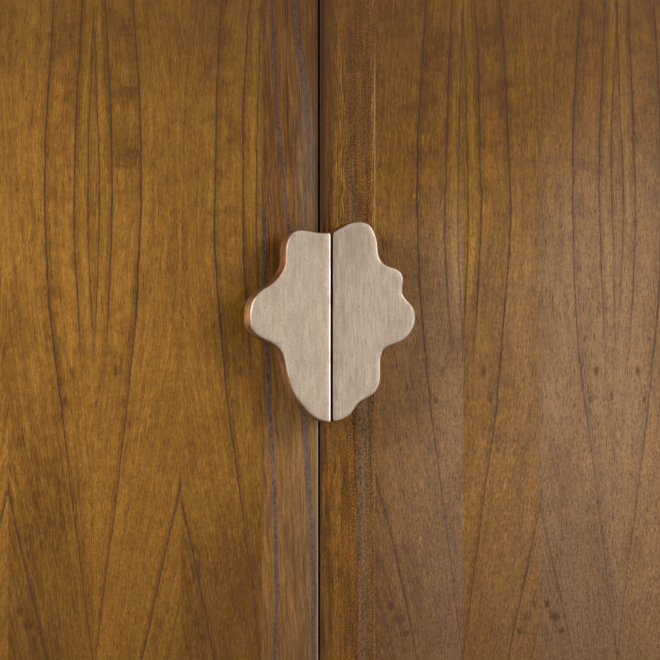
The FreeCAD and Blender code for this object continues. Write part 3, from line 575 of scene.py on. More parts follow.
def door_finish(name, side, fold, strip_width, make_strip, dark, light, haze, middle, power,
                tint):
    """Lacquered face veneer of one door. Side is -1 for the left door and 1 for the right."""
    material, g, shader, (x, y, z) = start_material(name)
    distance = g.line(x, float(side), -half_gap)
    leaves = g.group(fold, Distance=distance)
    across, leaf = leaves["Across"], g.line(leaves["Leaf"], 1.0, side * 20.0)
    figure = g.group(flitch_figure, Across=across, Up=z, Leaf=leaf)
    grain = g.group(wood_grain, Across=across, Along=z, Bands=figure["Age"],
                    Layer=g.times(leaf, 0.37))
    turned = g.math("PINGPONG", leaves["Leaf"], 1.0)
    low = g.span(z, 420.0, 240.0)
    warmth = g.add(g.times(grain["Hairs"], 0.26), g.times(grain["Streaks"], 0.26),
                   g.times(grain["Clouds"], 0.24), g.times(grain["Mottle"], 0.18),
                   g.times(low, g.minus(0.14, g.times(turned, 0.33))), 0.10)
    if side < 0:
        outer = g.times(g.span(distance, 226.0, 240.0), g.span(z, 560.0, 460.0), -0.08)
        warmth = g.add(warmth, outer)
    by_joint = g.times(g.near(across, 2.5, 5.0), g.span(grain["Threads"], 0.6, 0.1), 1.4)
    golden = g.times(g.most(g.near(figure["Age"], 9.5, 7.0), by_joint),
                     g.span(z, 420.0, 560.0), g.span(grain["Hairs"], 0.2, 0.7, 0.3, 1.0), 0.34)
    # Painted sheen: a pale haze laid into the colour, leaf by leaf, within a band of height
    rim = g.span(z, g.line(distance, 0.65, 574.0), g.line(distance, 0.35, 420.0))
    painted_sheen = g.times(g.curve(distance, 0.0, door_reach, haze), rim,
                     g.line(grain["Clouds"], 0.2, 0.8))
    ring = g.minus(g.span(z, 500.0, 300.0, 0.85, 0.70), g.times(painted_sheen, 0.7))
    wood = g.coats(
        g.mix(warmth, dark, light),
        (golden, shown(186, 138, 40)),
        (g.span(distance, 250.0, 20.0, 0.0, 0.30), shown(86, 52, 12)),
        (g.times(figure["Shade"], 0.40), shown(92, 54, 18)),
        (g.times(figure["Bars"], 0.68), shown(86, 48, 14)),
        (g.times(grain["Mottle"], 0.16), shown(134, 100, 26)),
        (g.times(grain["Mottle"], g.span(z, 330.0, 190.0), 0.22), shown(88, 52, 18)),
        (painted_sheen, shown(168, 144, 136)),
        (g.times(grain["Rays"], 0.22), shown(96, 54, 18)),
        (g.times(grain["Threads"], 0.22), shown(88, 54, 20)),
        (g.times(grain["Grit"], g.span(z, 480.0, 240.0, 0.26, 0.40)), shown(80, 48, 18)),
        (g.times(grain["Flecks"], 0.24), shown(190, 140, 66)),
        (g.times(grain["Pores"], 0.60), shown(72, 42, 12)),
        (g.times(figure["Rings"], ring), shown(62, 38, 37)),
        (g.times(figure["Knots"], 0.50), shown(64, 38, 20)),
        (g.math("LESS_THAN", distance, strip_width), make_strip(g, distance, z)))
    wood = g.deepen(wood, g.mix(painted_sheen, middle, shown(160, 137, 128)), power, tint)
    # Painted shade: the doors darken towards top and bottom
    ends = g.most(g.span(z, 520.0 - 20.0 * side, 780.0 - 20.0 * side, 0.0, 0.52),
                  g.span(z, 350.0, 130.0, 0.0, 0.34))
    # Painted shade beside the gap, deeper higher up
    by_gap = g.add(g.near(distance, 0.0, 7.0), g.times(g.near(distance, 0.0, 22.0), 0.5))
    painted_shade_by_gap = g.times(by_gap, g.span(z, 380.0, 680.0, 0.12, 0.55 + 0.13 * side))
    wood = g.coats(wood, (ends, shown(72, 42, 16)), (painted_shade_by_gap, shown(50, 28, 9)))
    if side < 0:
        # Painted highlight on the left door's eased meeting edge, low down
        painted_edge_highlight = g.times(g.near(distance, 0.0, 1.9), g.span(z, 440.0, 360.0, 0.0, 0.8))
        wood = g.mix(painted_edge_highlight, wood, shown(206, 184, 176))
    lacquer(g, shader, wood, grain, 0.18, 0.42, specular=0.03, coat=0.20, coat_roughness=0.22)
    return material


print("a door reaches", door_reach, "mm from the middle")

# %% One material for each door
# Painted sheen: how pale each leaf is painted, at (distance from the gap, share), as each leaf
# catches the light anew
left_haze = ((0.0, 0.0), (door_reach, 0.0))
right_haze = ((0.0, 0.0), (right_joints[1], 0.0), (right_joints[1] + 1, 0.19),
              (right_joints[2] - 1, 0.48), (right_joints[2] + 1, 0.13),
              (right_joints[3] - 1, 0.29), (right_joints[3] + 1, 0.47),
              (right_joints[4], 0.51), (right_joints[5], 0.30), (door_reach, 0.14))
left_veneer = door_finish("left door veneer", -1, left_fold, left_joints[1], left_strip,
                          shown(98, 60, 20), shown(174, 122, 46), left_haze,
                          shown(124, 81, 30), 1.2, (1.0, 1.0, 1.0, 1.0))
right_veneer = door_finish("right door veneer", 1, right_fold, right_joints[1], right_strip,
                           shown(82, 49, 16), shown(156, 106, 40), right_haze,
                           shown(110, 72, 27), 1.4, (1.0, 1.0, 0.82, 1.0))
print("door finishes", left_veneer.name, right_veneer.name)

# %% [markdown]
# ## The other woods
#
# The case is veneered with the same brown wood, its grain running along each board, round
# the corners from side to top. Inside, the wood is plainer and paler. The plinth is stained
# dark, and what is never seen, such as cores, splines and tenons, is bare board and beech.
# One function makes them all, because only the colours and the direction differ.

# %% Plain woods from one function
def plain_wood(name, along, dark, light, pore, gloss, figure=0.35, coat=0.2, paint_gap_shade=False):
    """A wood whose grain runs along one axis: 0 for X, 1 for Y, 2 for Z."""
    material, g, shader, axes = start_material(name)
    sides = [axis for number, axis in enumerate(axes) if number != along]
    across = g.line(sides[1], 0.83, sides[0])
    grain = g.group(wood_grain, Across=across, Along=axes[along], Bands=across,
                    Layer=float(along) * 2.3)
    bend = g.times(g.noise(g.times(across, 0.008), 4.0, g.times(axes[along], 0.0011), 1.0), 120.0)
    rings = g.times(g.add(across, bend), 1 / 26.0)
    ring = g.math("ABSOLUTE", g.minus(g.math("FRACT", rings), 0.5))
    bands = g.noise(g.times(rings, 0.9), 7.0, g.times(axes[along], 0.0012), 3.0, 0.6)
    tone = g.add(g.times(grain["Hairs"], 0.28), g.times(grain["Streaks"], 0.24),
                 g.times(g.span(bands, 0.30, 0.70), 0.42), g.times(grain["Clouds"], 0.06))
    wood = g.coats(g.mix(tone, dark, light),
                   (g.times(g.span(ring, 0.0, 0.07, 1.0, 0.0), figure), pore),
                   (g.times(grain["Flecks"], 0.22), light), (g.times(grain["Pores"], 0.5), pore))
    if paint_gap_shade:      # painted shade where the doors meet
        inner = g.span(g.math("ABSOLUTE", axes[0]), 2.0, 7.0, 1.0, 0.0)
        wood = g.mix(g.times(inner, g.span(axes[2], 420.0, 520.0, 0.45, 0.62)), wood,
                     shown(46, 29, 18))
    lacquer(g, shader, wood, grain, 0.15, gloss, specular=0.15, coat=coat, coat_roughness=0.32)
    return material


case_tones = (shown(88, 55, 21), shown(138, 92, 38), shown(68, 41, 17), 0.42)
inside_tones = (shown(140, 98, 55), shown(184, 139, 86), shown(112, 76, 42), 0.46)
plinth_tones = (shown(48, 31, 20), shown(74, 48, 30), shown(32, 20, 14), 0.45)
beech_tones = (shown(186, 152, 108), shown(212, 180, 136), shown(160, 122, 82), 0.6)
case_along = plain_wood("case veneer along", 0, *case_tones)
case_upright = plain_wood("case veneer upright", 2, *case_tones)
inside_along = plain_wood("inside veneer along", 0, *inside_tones, figure=0.15)
inside_upright = plain_wood("inside veneer upright", 2, *inside_tones, figure=0.15)
lipping_upright = plain_wood("lipping upright", 2, *case_tones, figure=0.1, paint_gap_shade=True)
lipping_along = plain_wood("lipping along", 0, *case_tones, figure=0.1)
plinth_along = plain_wood("plinth stain along", 0, *plinth_tones, figure=0.1)
plinth_deep = plain_wood("plinth stain deep", 1, *plinth_tones, figure=0.1)
bare_beech = plain_wood("bare beech", 0, *beech_tones, figure=0.0, coat=0.0)
print("plain woods ready,", len(bpy.data.materials), "materials so far")

# %% Bare board of the door cores
bare_board, g, shader, (x, y, z) = start_material("bare board")
chips = g.noise(g.times(x, 0.9), g.times(y, 0.9), g.times(z, 0.5), 3.0, 0.7)
g.give(shader, {"Base Color": g.mix(g.span(chips, 0.3, 0.7), shown(168, 134, 92),
                                    shown(208, 178, 136)), "Roughness": 0.8})
print("veneers", sum("veneer" in material.name for material in bpy.data.materials))

# %% [markdown]
# ## Cast metal of the pull
#
# The pull is a sand casting in a pale champagne bronze. Its face is brushed upright and
# matt, with a few pits. Its front edge is polished bright by hands and carries a painted
# highlight where it faces a lamp. Its sides keep a warmer copper tone, partly a painted
# reflection of the wood, with painted highlights on the left lobe and painted shade on the
# flanks that face up or down and where the halves nearly touch. The mesh carries three
# numbers, for the edge, the side and that painted shade, which say where those finishes belong.

# %% The cast metal material
cast_metal, g, shader, (x, y, z) = start_material("cast champagne metal")
edge, side, painted_flank_shade = (g.node("ShaderNodeAttribute", attribute_name=name).outputs["Fac"]
                      for name in ("edge", "side", "painted_flank_shade"))
brush = g.noise(g.times(x, 0.75), g.times(y, 0.3), g.times(z, 0.05), 3.0, 0.6)
sweep = g.noise(g.times(x, 0.16), 2.0, g.times(z, 0.014), 1.0)
mottle = g.noise(g.times(x, 0.16), g.times(y, 0.16), g.times(z, 0.045), 3.0, 0.65)
speckle = g.noise(g.times(x, 1.6), g.times(y, 1.6), g.times(z, 0.9), 2.0, 0.7)
brushed = g.span(x, -6.0, 6.0, 0.55, 1.0)
shaded = g.add(g.span(z, 480.0, 560.0, 0.0, 0.25),
               g.times(g.span(x, -1.0, 1.0), 0.16),
               g.times(g.near(x, 14.0, 26.0), g.span(z, 440.0, 520.0), g.span(x, -1.0, 1.0), 0.26))
holes = g.give(g.node("ShaderNodeTexVoronoi", feature="F1"), {
    "Vector": g.join(x, y, z), "Scale": 0.16})
rare = g.span(g.split(holes.outputs["Color"])[0], 0.80, 0.88)
pit = g.times(g.span(holes.outputs["Distance"], 0.05, 0.12, 1.0, 0.0), rare)
rim_brightness = g.noise(g.times(x, 0.05), g.times(y, 0.05), g.times(z, 0.05), 2.0)
# Rims: edges polished bright, with a painted highlight that is held off parts of the left half's
# outer edge, where the lamps miss it
outer_left = g.span(x, -20.0, -30.0)
kept = g.add(1.0, g.times(outer_left, g.add(g.span(z, 488.0, 500.0, 0.0, -0.8),
                                            g.span(z, 466.0, 452.0, 0.0, -0.45))))
bright = g.times(edge, g.span(rim_brightness, 0.36, 0.56, 0.30, 1.0), kept)
# The sides' copper tone is partly a painted reflection of the brown wood beside them
copper = g.mix(g.span(mottle, 0.3, 0.7), shown(150, 96, 56), shown(216, 158, 106))
flank = g.noise(g.times(x, 0.12), g.times(y, 0.15), g.times(z, 0.07), 3.0, 0.6)
# Painted highlight along the seam edge of the left half
seam = g.times(g.near(x, -1.9, 1.4), g.span(y, -241.0, -243.0), g.span(rim_brightness, 0.30, 0.50, 0.5, 1.0))
metal = g.coats(
    g.mix(g.span(mottle, 0.30, 0.70), shown(147, 133, 118), shown(164, 150, 133)),
    (shaded, shown(122, 108, 96)),
    (g.times(g.span(brush, 0.48, 0.72), brushed, 0.55), shown(173, 157, 140)),
    (g.times(g.span(brush, 0.50, 0.28), brushed, 0.52), shown(116, 102, 88)),
    (g.times(g.span(sweep, 0.45, 0.75), brushed, 0.35), shown(123, 110, 98)),
    (g.times(g.span(speckle, 0.50, 0.68), 0.50), shown(112, 98, 85)),
    (g.times(pit, 0.75), shown(80, 64, 50)),
    (g.times(side, 0.9), copper),
    # Painted highlights: pale tan and orange on the left lobe's flank, which faces the left lamp
    (g.times(side, g.near(z, 478.0, 20.0), outer_left, 0.8), shown(246, 194, 140)),
    (g.times(side, g.near(z, 514.0, 16.0), outer_left, 0.6), shown(206, 130, 70)),
    (g.times(side, g.span(flank, 0.48, 0.62), 0.65), shown(118, 70, 38)),
    # Painted shade on flanks that face up or down and between the halves
    (g.times(painted_flank_shade, side, 0.90), shown(66, 42, 26)),
    (g.times(bright, 0.9), shown(250, 242, 228)),
    (g.times(seam, 0.75), shown(246, 236, 220)))
relief = g.add(g.times(brush, brushed, 0.5), g.times(speckle, 0.5), g.times(pit, -2.0))
g.give(shader, {
    "Base Color": metal, "Metallic": g.line(side, -0.45, 1.0),
    "Roughness": g.minus(g.line(speckle, 0.16, 0.48), g.times(bright, 0.22)),
    "Normal": g.bump(relief, 0.00025, 0.5)})
print("cast metal nodes", len(cast_metal.node_tree.nodes))

# %% [markdown]
# ## Brass, steel, plastic and rubber
#
# The small hardware is satin brass and plated steel with fine turning marks, the catches are
# moulded plastic with a magnet in each, and the bumpers are soft rubber.

# %% Hardware materials
def turned_metal(name, low, high, roughness):
    material, g, shader, (x, y, z) = start_material(name)
    marks = g.noise(g.times(x, 2.4), g.times(y, 2.4), g.times(z, 2.4), 3.0, 0.6)
    stain = g.noise(g.times(x, 0.12), g.times(y, 0.12), g.times(z, 0.12), 2.0)
    metal = g.mix(g.span(marks, 0.3, 0.7), low, high)
    g.give(shader, {
        "Base Color": g.mix(g.times(g.span(stain, 0.5, 0.8), 0.4), metal, low), "Metallic": 1.0,
        "Roughness": g.line(marks, 0.15, roughness), "Normal": g.bump(marks, 0.00005, 0.4)})
    return material


def moulded(name, low, high, roughness, size):
    material, g, shader, (x, y, z) = start_material(name)
    skin = g.noise(g.times(x, size), g.times(y, size), g.times(z, size), 3.0, 0.6)
    g.give(shader, {
        "Base Color": g.mix(g.span(skin, 0.3, 0.7), low, high),
        "Roughness": g.line(skin, 0.12, roughness), "Normal": g.bump(skin, 0.00004, 0.5)})
    return material


brass = turned_metal("satin brass", shown(176, 142, 84), shown(212, 180, 118), 0.26)
steel = turned_metal("plated steel", shown(158, 156, 150), shown(200, 198, 192), 0.28)
magnet = turned_metal("dark magnet", shown(52, 52, 55), shown(78, 78, 82), 0.42)
brown_plastic = moulded("brown plastic", shown(52, 40, 32), shown(66, 52, 42), 0.45, 1.5)
dark_plastic = moulded("dark plastic", shown(30, 28, 26), shown(44, 41, 38), 0.5, 1.5)
rubber = moulded("brown rubber", shown(108, 92, 76), shown(130, 112, 94), 0.6, 0.8)
print("materials", len(bpy.data.materials))

# %% [markdown]
# ## Finishes on the CAD pieces
#
# Most CAD pieces already have the right shape, so they only get a finish. A CAD mesh is
# never changed, but its material slots may be.

# %% Give each CAD piece its finish
finishes = {
    "top_panel": case_along, "bottom_panel": case_along,
    "left_side_panel": case_upright, "right_side_panel": case_upright,
    "centre_partition": inside_upright, "back_panel": inside_along,
    "left_shelf": inside_along, "right_shelf": inside_along,
    "left_shelf_lipping": lipping_along, "right_shelf_lipping": lipping_along,
    "mitre_splines": bare_beech, "partition_tenons": bare_beech,
    "plinth_tenons": bare_beech, "plinth_glue_blocks": bare_beech,
    "plinth_front_rail": plinth_along, "plinth_back_rail": plinth_along,
    "plinth_left_rail": plinth_deep, "plinth_right_rail": plinth_deep,
    "plinth_cross_rail": plinth_deep,
    "left_door_face_veneer": left_veneer, "right_door_face_veneer": right_veneer,
    "case_hinge_leaves": brass, "case_hinge_screws": brass, "shelf_pins": brass,
    "back_panel_screws": steel, "glide_nails": steel, "catch_screws": steel,
    "catch_bodies": brown_plastic, "catch_magnets": magnet,
    "glides": dark_plastic, "door_bumpers": rubber,
}
for hand in ("left", "right"):
    finishes.update({
        hand + "_door_core": bare_board, hand + "_door_lippings": lipping_upright,
        hand + "_door_back_veneer": inside_upright,
        hand + "_door_hinge_leaves": brass, hand + "_door_hinge_screws": brass,
        hand + "_strike_plate": steel, hand + "_strike_screw": steel,
        hand + "_pull_screws": steel, hand + "_pull": cast_metal,
    })
for name, material in finishes.items():
    nodes[name].data.materials.clear()
    nodes[name].data.materials.append(material)
print("finished", len(finishes), "of", len(nodes))

# %% [markdown]
# ## The outline of the pull
#
# The two halves have different wavy outlines, as if torn apart. Each outline is a few
# measured places, as shares of the half's width and height from the middle of the seam,
# joined by a smooth cubic curve. Its ends meet the straight seam with a small round.

# %% The measured places of both outlines
pull_width, pull_height = 76.0, 90.0
pull_front, pull_back, door_face = -244.0, -223.0, -204.0
pull_middle = (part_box("left_pull")[0].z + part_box("right_pull")[1].z) / 2 / MM
left_outline = (
    (0.0, 0.89), (0.15, 0.89), (0.32, 0.915), (0.45, 0.90), (0.52, 0.82), (0.55, 0.68),
    (0.56, 0.56), (0.61, 0.475), (0.70, 0.395), (0.83, 0.325), (0.945, 0.22), (0.985, 0.08),
    (0.96, -0.065), (0.88, -0.14), (0.72, -0.205), (0.60, -0.29), (0.55, -0.42),
    (0.505, -0.58), (0.43, -0.725), (0.29, -0.875), (0.12, -0.975), (0.0, -1.0),
)
right_outline = (
    (0.0, 0.89), (0.10, 0.935), (0.22, 0.985), (0.33, 1.0), (0.43, 0.98), (0.505, 0.90),
    (0.545, 0.79), (0.56, 0.67), (0.60, 0.60), (0.69, 0.557), (0.79, 0.528), (0.855, 0.47),
    (0.86, 0.37), (0.857, 0.28), (0.91, 0.22), (0.99, 0.145), (1.015, 0.05),
    (0.975, -0.08), (0.88, -0.17), (0.74, -0.225), (0.635, -0.265), (0.59, -0.345),
    (0.583, -0.50), (0.565, -0.63), (0.50, -0.71), (0.39, -0.765), (0.30, -0.815),
    (0.24, -0.89), (0.14, -0.96), (0.0, -0.99),
)
print("places", len(left_outline), "left and", len(right_outline), "right")

# %% A smooth curve through the outline's points
def run_along(points):
    """The way covered at each point of a line, from 0 at the first."""
    return np.concatenate([[0], np.cumsum(np.linalg.norm(np.diff(points, axis=0), axis=1))])


def smooth_through(points, steps):
    """Points along a natural cubic curve through the given ones."""
    points = np.array(points, float)
    knots = run_along(points)
    count, gap = len(points), np.diff(knots)
    system, right = np.eye(count), np.zeros((count, 2))
    for row in range(1, count - 1):
        system[row, row - 1:row + 2] = gap[row - 1], 2 * (gap[row - 1] + gap[row]), gap[row]
        right[row] = 6 * ((points[row + 1] - points[row]) / gap[row]
                          - (points[row] - points[row - 1]) / gap[row - 1])
    bend = np.linalg.solve(system, right)
    made = []
    for place in np.linspace(0, knots[-1], steps):
        part = min(int(np.searchsorted(knots, place, "right")) - 1, count - 2)
        a, b = knots[part + 1] - place, place - knots[part]
        h = gap[part]
        made.append(points[part] * a / h + points[part + 1] * b / h
                    + (a ** 3 / h - a * h) * bend[part] / 6
                    + (b ** 3 / h - b * h) * bend[part + 1] / 6)
    return np.array(made)


def even_loop(points, spacing):
    """The closed loop again, with points the same distance apart."""
    points = np.vstack([points, points[:1]])
    run = run_along(points)
    places = np.linspace(0, run[-1], int(run[-1] / spacing), endpoint=False)
    return np.stack([np.interp(places, run, points[:, axis]) for axis in (0, 1)], axis=1)


def rounded_corners(loop, times):
    """Softens a loop a little by averaging neighbours."""
    for _ in range(times):
        loop = (np.roll(loop, 1, axis=0) + 2 * loop + np.roll(loop, -1, axis=0)) / 4
    return loop


def pull_outline(shares):
    """A closed loop of one half in millimetres: out from the seam, up from the middle."""
    wavy = smooth_through([(out * pull_width, up * pull_height) for out, up in shares], 500)
    seam = np.linspace(wavy[-1], wavy[0], 160)[1:-1]
    return rounded_corners(even_loop(np.vstack([wavy, seam]), 0.9), 8)


left_loop, right_loop = pull_outline(left_outline), pull_outline(right_outline)
print("outline points", len(left_loop), len(right_loop))

# %% [markdown]
# ## The two castings
#
# Each half is a dish: a face 7 mm thick with walls 6 mm thick round a hollow back, and two
# round posts that reach the door. The mesh is rings of the same outline, each moved in a
# little and set at its own depth, so the front edge rounds over and the hollow follows the
# outside. The face is filled with small triangles, and dips by a tenth of a millimetre or two
# here and there, as hand-finished metal does.

# %% Moving a loop in, and what lies inside it
def tangents(loop):
    """The way the loop runs at each point, of length 1."""
    along = np.roll(loop, -1, axis=0) - np.roll(loop, 1, axis=0)
    return along / np.linalg.norm(along, axis=1)[:, None]


def turning(loop):
    """1 where a loop runs anticlockwise and -1 where it runs clockwise."""
    ahead = np.roll(loop, -1, axis=0)
    return 1 if np.sum(loop[:, 0] * ahead[:, 1] - loop[:, 1] * ahead[:, 0]) > 0 else -1


def moved_in(loop, inset, seam_share=1.0):
    """The loop moved inwards along its normals, and less so where it runs along the seam."""
    along = tangents(loop)
    inward = np.stack([-along[:, 1], along[:, 0]], axis=1)
    share = np.where(loop[:, 0] < 0.6, seam_share, 1.0)
    for _ in range(3):
        share = (np.roll(share, 1) + 2 * share + np.roll(share, -1)) / 4
    return loop + inward * inset * share[:, None] * turning(loop)


def hollow_loop(loop, inset):
    """The loop moved in a long way, without the tangles that its tight corners leave."""
    moved = moved_in(loop, inset)
    away = np.array([np.min(np.hypot(*(loop - point).T)) for point in moved])
    return rounded_corners(even_loop(moved[away > inset - 0.12], 1.2), 6)


def is_inside(loop, u, v):
    """Whether a line from the point to the right crosses the loop an odd number of times."""
    start, end = loop, np.roll(loop, -1, axis=0)
    crossed = (start[:, 1] > v) != (end[:, 1] > v)
    where = start[:, 0] + (v - start[:, 1]) * (end[:, 0] - start[:, 0]) / np.where(
        crossed, end[:, 1] - start[:, 1], 1.0)
    return np.sum(crossed & (where > u)) % 2 == 1


def inside_points(loop, margin, pitch):
    """A grid of points inside a loop, kept off its edge."""
    low, high = loop.min(axis=0), loop.max(axis=0)
    made = []
    for row, v in enumerate(np.arange(low[1], high[1], pitch * 0.87)):
        for u in np.arange(low[0] + (row % 2) * pitch / 2, high[0], pitch):
            if np.min(np.hypot(loop[:, 0] - u, loop[:, 1] - v)) < margin:
                continue
            if is_inside(loop, u, v):
                made.append((u, v))
    return made


print("left half has", len(inside_points(left_loop, 2.2, 4.0)), "points inside its outline")

# %% Rings of a half, from the face to the bottom of its hollow
front_round = 1.8
round_steps = 6
wall, face_thickness = 6.0, 7.0
hollow_floor = pull_front + face_thickness
seam_gap = 1.0                  # from the middle line to each half's seam
face_wave = 0.35                # no dip in the face is as deep as this


def upward(loop):
    """How far each point of a loop faces up, from -1 for down to 1."""
    return tangents(loop)[:, 0] * -turning(loop)


def outer_rows():
    """(inset, depth, edge, side) from the face over the front edge to the back rim."""
    made = []
    for step in range(round_steps + 1):
        turn = math.radians(90.0 * step / round_steps)
        made.append((front_round * (1 - math.sin(turn)),
                     pull_front + front_round * (1 - math.cos(turn)),
                     math.sin(2 * turn) ** 1.8 if 0 < step < round_steps else 0.1,
                     step / round_steps))
    return made + [(0.0, pull_front + 9.0, 0.0, 1.0), (0.0, pull_back - 0.9, 0.0, 1.0),
                   (0.25, pull_back - 0.25, 0.3, 1.0), (0.9, pull_back, 0.1, 1.0)]


hollow_rows = ((0.0, pull_back, 0.1, 1.0), (0.5, pull_back, 0.1, 1.0),
               (0.8, pull_back - 0.8, 0.0, 1.0), (0.8, hollow_floor + 1.4, 0.0, 1.0),
               (1.2, hollow_floor + 0.4, 0.0, 1.0), (2.0, hollow_floor, 0.0, 1.0))
print("rings", len(outer_rows()), "outside and", len(hollow_rows), "in the hollow")

# %% Posts, and a skin over rings
post_radius = 9.0
post_turns = 40
# Each circle of a post: how much wider than the post, and its depth
post_rows = ((2.0, hollow_floor - 0.6), (1.2, hollow_floor + 0.5), (0.35, hollow_floor + 1.6),
             (0.0, hollow_floor + 3.2), (0.0, door_face - 0.8), (-0.8, door_face))


def around(turns):
    """The cosine and sine of each of a number of even turns."""
    return [(math.cos(math.tau * turn / turns), math.sin(math.tau * turn / turns))
            for turn in range(turns)]


def skin(mesh, rows, closed=True):
    """Faces from each ring of points to the next, and over both ends where it is closed."""
    for first, second in zip(rows, rows[1:]):
        for number in range(len(first)):
            after = (number + 1) % len(first)
            mesh.faces.new((first[number], first[after], second[after], second[number]))
    if closed:
        mesh.faces.new(rows[0])
        mesh.faces.new(rows[-1])


print("post of", post_turns, "sides through", len(post_rows), "circles")

# %% One half of the pull
def casting(name, side, loop, posts, body):
    """One half of the pull as a closed mesh, riding on its door."""
    mesh = bmesh.new()
    # The left half's seam edge carries a painted highlight, the right half's a faint one
    seam_edge = 1.0 if side < 0 else 0.15
    edge_layer = mesh.verts.layers.float.new("edge")
    side_layer = mesh.verts.layers.float.new("side")
    painted_flank_shade_layer = mesh.verts.layers.float.new("painted_flank_shade")

    def vertex(u, v, depth, edge=0.0, flank=0.0, painted_flank_shade=0.5):
        made = mesh.verts.new((side * (seam_gap + u) * MM, depth * MM, (pull_middle + v) * MM))
        made[edge_layer], made[side_layer], made[painted_flank_shade_layer] = edge, flank, painted_flank_shade
        return made

    def rings(outline, rows, seam_share):
        up = upward(outline)
        # Painted highlight on edges that face sideways, and painted shade on flanks that face up or
        # down and beside the seam
        painted_edge_highlight = 1.0 - 0.92 * np.abs(up) ** 1.5
        painted_shade_share = np.where(up > 0, up, -0.7 * up) ** 0.8
        painted_edge_highlight[outline[:, 0] < 1.0], painted_shade_share[outline[:, 0] < 1.0] = seam_edge, 1.0
        made = [[vertex(u, v, depth, edge * rim_brightness, flank, dark)
                 for (u, v), rim_brightness, dark in zip(moved_in(outline, inset, seam_share), painted_edge_highlight, painted_shade_share)]
                for inset, depth, edge, flank in rows]
        skin(mesh, made, closed=False)
        return made

    def flat(ring):
        return [(point.co.x / MM * side - seam_gap, point.co.z / MM - pull_middle)
                for point in ring]

    def fill(borders, depth, wave, flank, inner=()):
        """Triangles between closed rings that lie in one plane."""
        known = [point for border in borders for point in border]
        spots = [place for border in borders for place in flat(border)] + list(inner)
        rims, first = [], 0
        for border in borders:
            rims += [(first + number, first + (number + 1) % len(border))
                     for number in range(len(border))]
            first += len(border)
        places, _, faces, origin, _, _ = delaunay_2d_cdt(
            [Vector(spot) for spot in spots], rims, [], 1, 1e-5)
        hole = np.array(flat(borders[1])) if len(borders) > 1 else None
        own = {}
        for number, place in enumerate(places):
            source = [index for index in origin[number] if index < len(known)]
            if source:
                own[number] = known[source[0]]
            else:
                rise = wave * noise.noise(Vector((place.x * 0.06, place.y * 0.035, side * 5.0)))
                own[number] = vertex(place.x, place.y, depth + max(rise, 0.0), 0.0, flank)
        for face in faces:
            corners = [own[number] for number in face]
            middle = sum((places[number] for number in face), Vector((0.0, 0.0))) / 3
            if len(set(corners)) == 3 and (hole is None or not is_inside(hole, *middle)):
                mesh.faces.new(corners)

    # The front edge is less round at the seam, on the right half most of all
    outside = rings(loop, outer_rows(), 0.6 if side < 0 else 0.3)
    hollow = rings(hollow_loop(loop, wall - 0.8), hollow_rows, 1.0)
    fill([outside[0]], pull_front, face_wave, 0.0,
         inside_points(np.array(flat(outside[0])), 2.2, 4.0))
    fill([outside[-1], hollow[0]], pull_back, 0.0, 1.0)
    fill([hollow[-1]], hollow_floor, 0.0, 1.0,
         inside_points(np.array(flat(hollow[-1])), 3.0, 6.0))
    for out, up in posts:
        skin(mesh, [[vertex(out + (post_radius + wider) * u, up + (post_radius + wider) * v,
                            depth, 0.0, 1.0) for u, v in around(post_turns)]
                    for wider, depth in post_rows])
    bmesh.ops.recalc_face_normals(mesh, faces=mesh.faces)
    for face in mesh.faces:
        face.smooth = True
    data = bpy.data.meshes.new(name)
    mesh.to_mesh(data)
    data.materials.append(cast_metal)
    piece = add_object(name, data)
    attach(piece, body)
    open_edges = sum(len(edge.link_faces) != 2 for edge in mesh.edges)
    mesh.free()
    print(name, "faces", len(data.polygons), "open edges", open_edges)
    return piece


post_places = ((23.0, 44.0), (23.0, -42.0))
for hand, side, loop in (("left", -1, left_loop), ("right", 1, right_loop)):
    piece = casting(hand + "_cast_half", side, loop, post_places, hand + "_door")
    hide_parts(hand + "_pull")

# %% [markdown]
# ## Small hardware by the box
#
# Screws, shelf pins, glides and bumpers come by the box: all alike, only the place and the
# turn differ. So each kind is modelled once. Its shape is a stack of outlines, such as the
# circles of a screw's head and thread, and its recess is cut in with a Boolean. The CAD solids
# already say where each one sits, so the places are read from them by walking along the edges
# from corner to corner.

# %% Places of the solids of a CAD node
def solids(name):
    """The lowest and highest corner of each separate solid of a CAD node."""
    copy = bmesh.new()
    copy.from_mesh(nodes[name].data)
    bmesh.ops.remove_doubles(copy, verts=copy.verts, dist=1e-6)
    found, reached = [], set()
    for first in copy.verts:
        if first in reached:
            continue
        reached.add(first)
        island, waiting = [], [first]
        while waiting:
            corner = waiting.pop()
            island.append(corner.co.copy())
            for edge in corner.link_edges:
                other = edge.other_vert(corner)
                if other not in reached:
                    reached.add(other)
                    waiting.append(other)
        found.append([Vector([pick(point[axis] for point in island) for axis in range(3)])
                      for pick in (min, max)])
    copy.free()
    return found


def outer_ends(name, facing):
    """The middle of each solid's outer end and the way it faces, by a rule on its middle."""
    made = []
    for low, high in solids(name):
        middle, half = (low + high) / 2, (high - low) / 2
        way = Vector(facing(middle))
        made.append((middle + way * abs(half.dot(way)), way))
    return sorted(made, key=lambda spot: [round(value, 5) for value in spot[0]])


print("shelf pins at", [[round(value, 3) for value in place]
                        for place, _ in outer_ends("shelf_pins", lambda middle: (1, 0, 0))][:2])

# %% Shapes from outlines
def circle(radius, turns=24):
    return [(radius * u, radius * v) for u, v in around(turns)]


def stack(mesh, outlines, turned=Matrix()):
    """A closed shape through outlines of (points, height) in millimetres, turned as given."""
    skin(mesh, [[mesh.verts.new(turned @ Vector((u * MM, v * MM, height * MM)))
                 for u, v in points] for points, height in outlines])


def spun(mesh, profile, turns=24):
    """A closed shape through circles of (radius, height)."""
    stack(mesh, [(circle(radius, turns), height) for radius, height in profile])


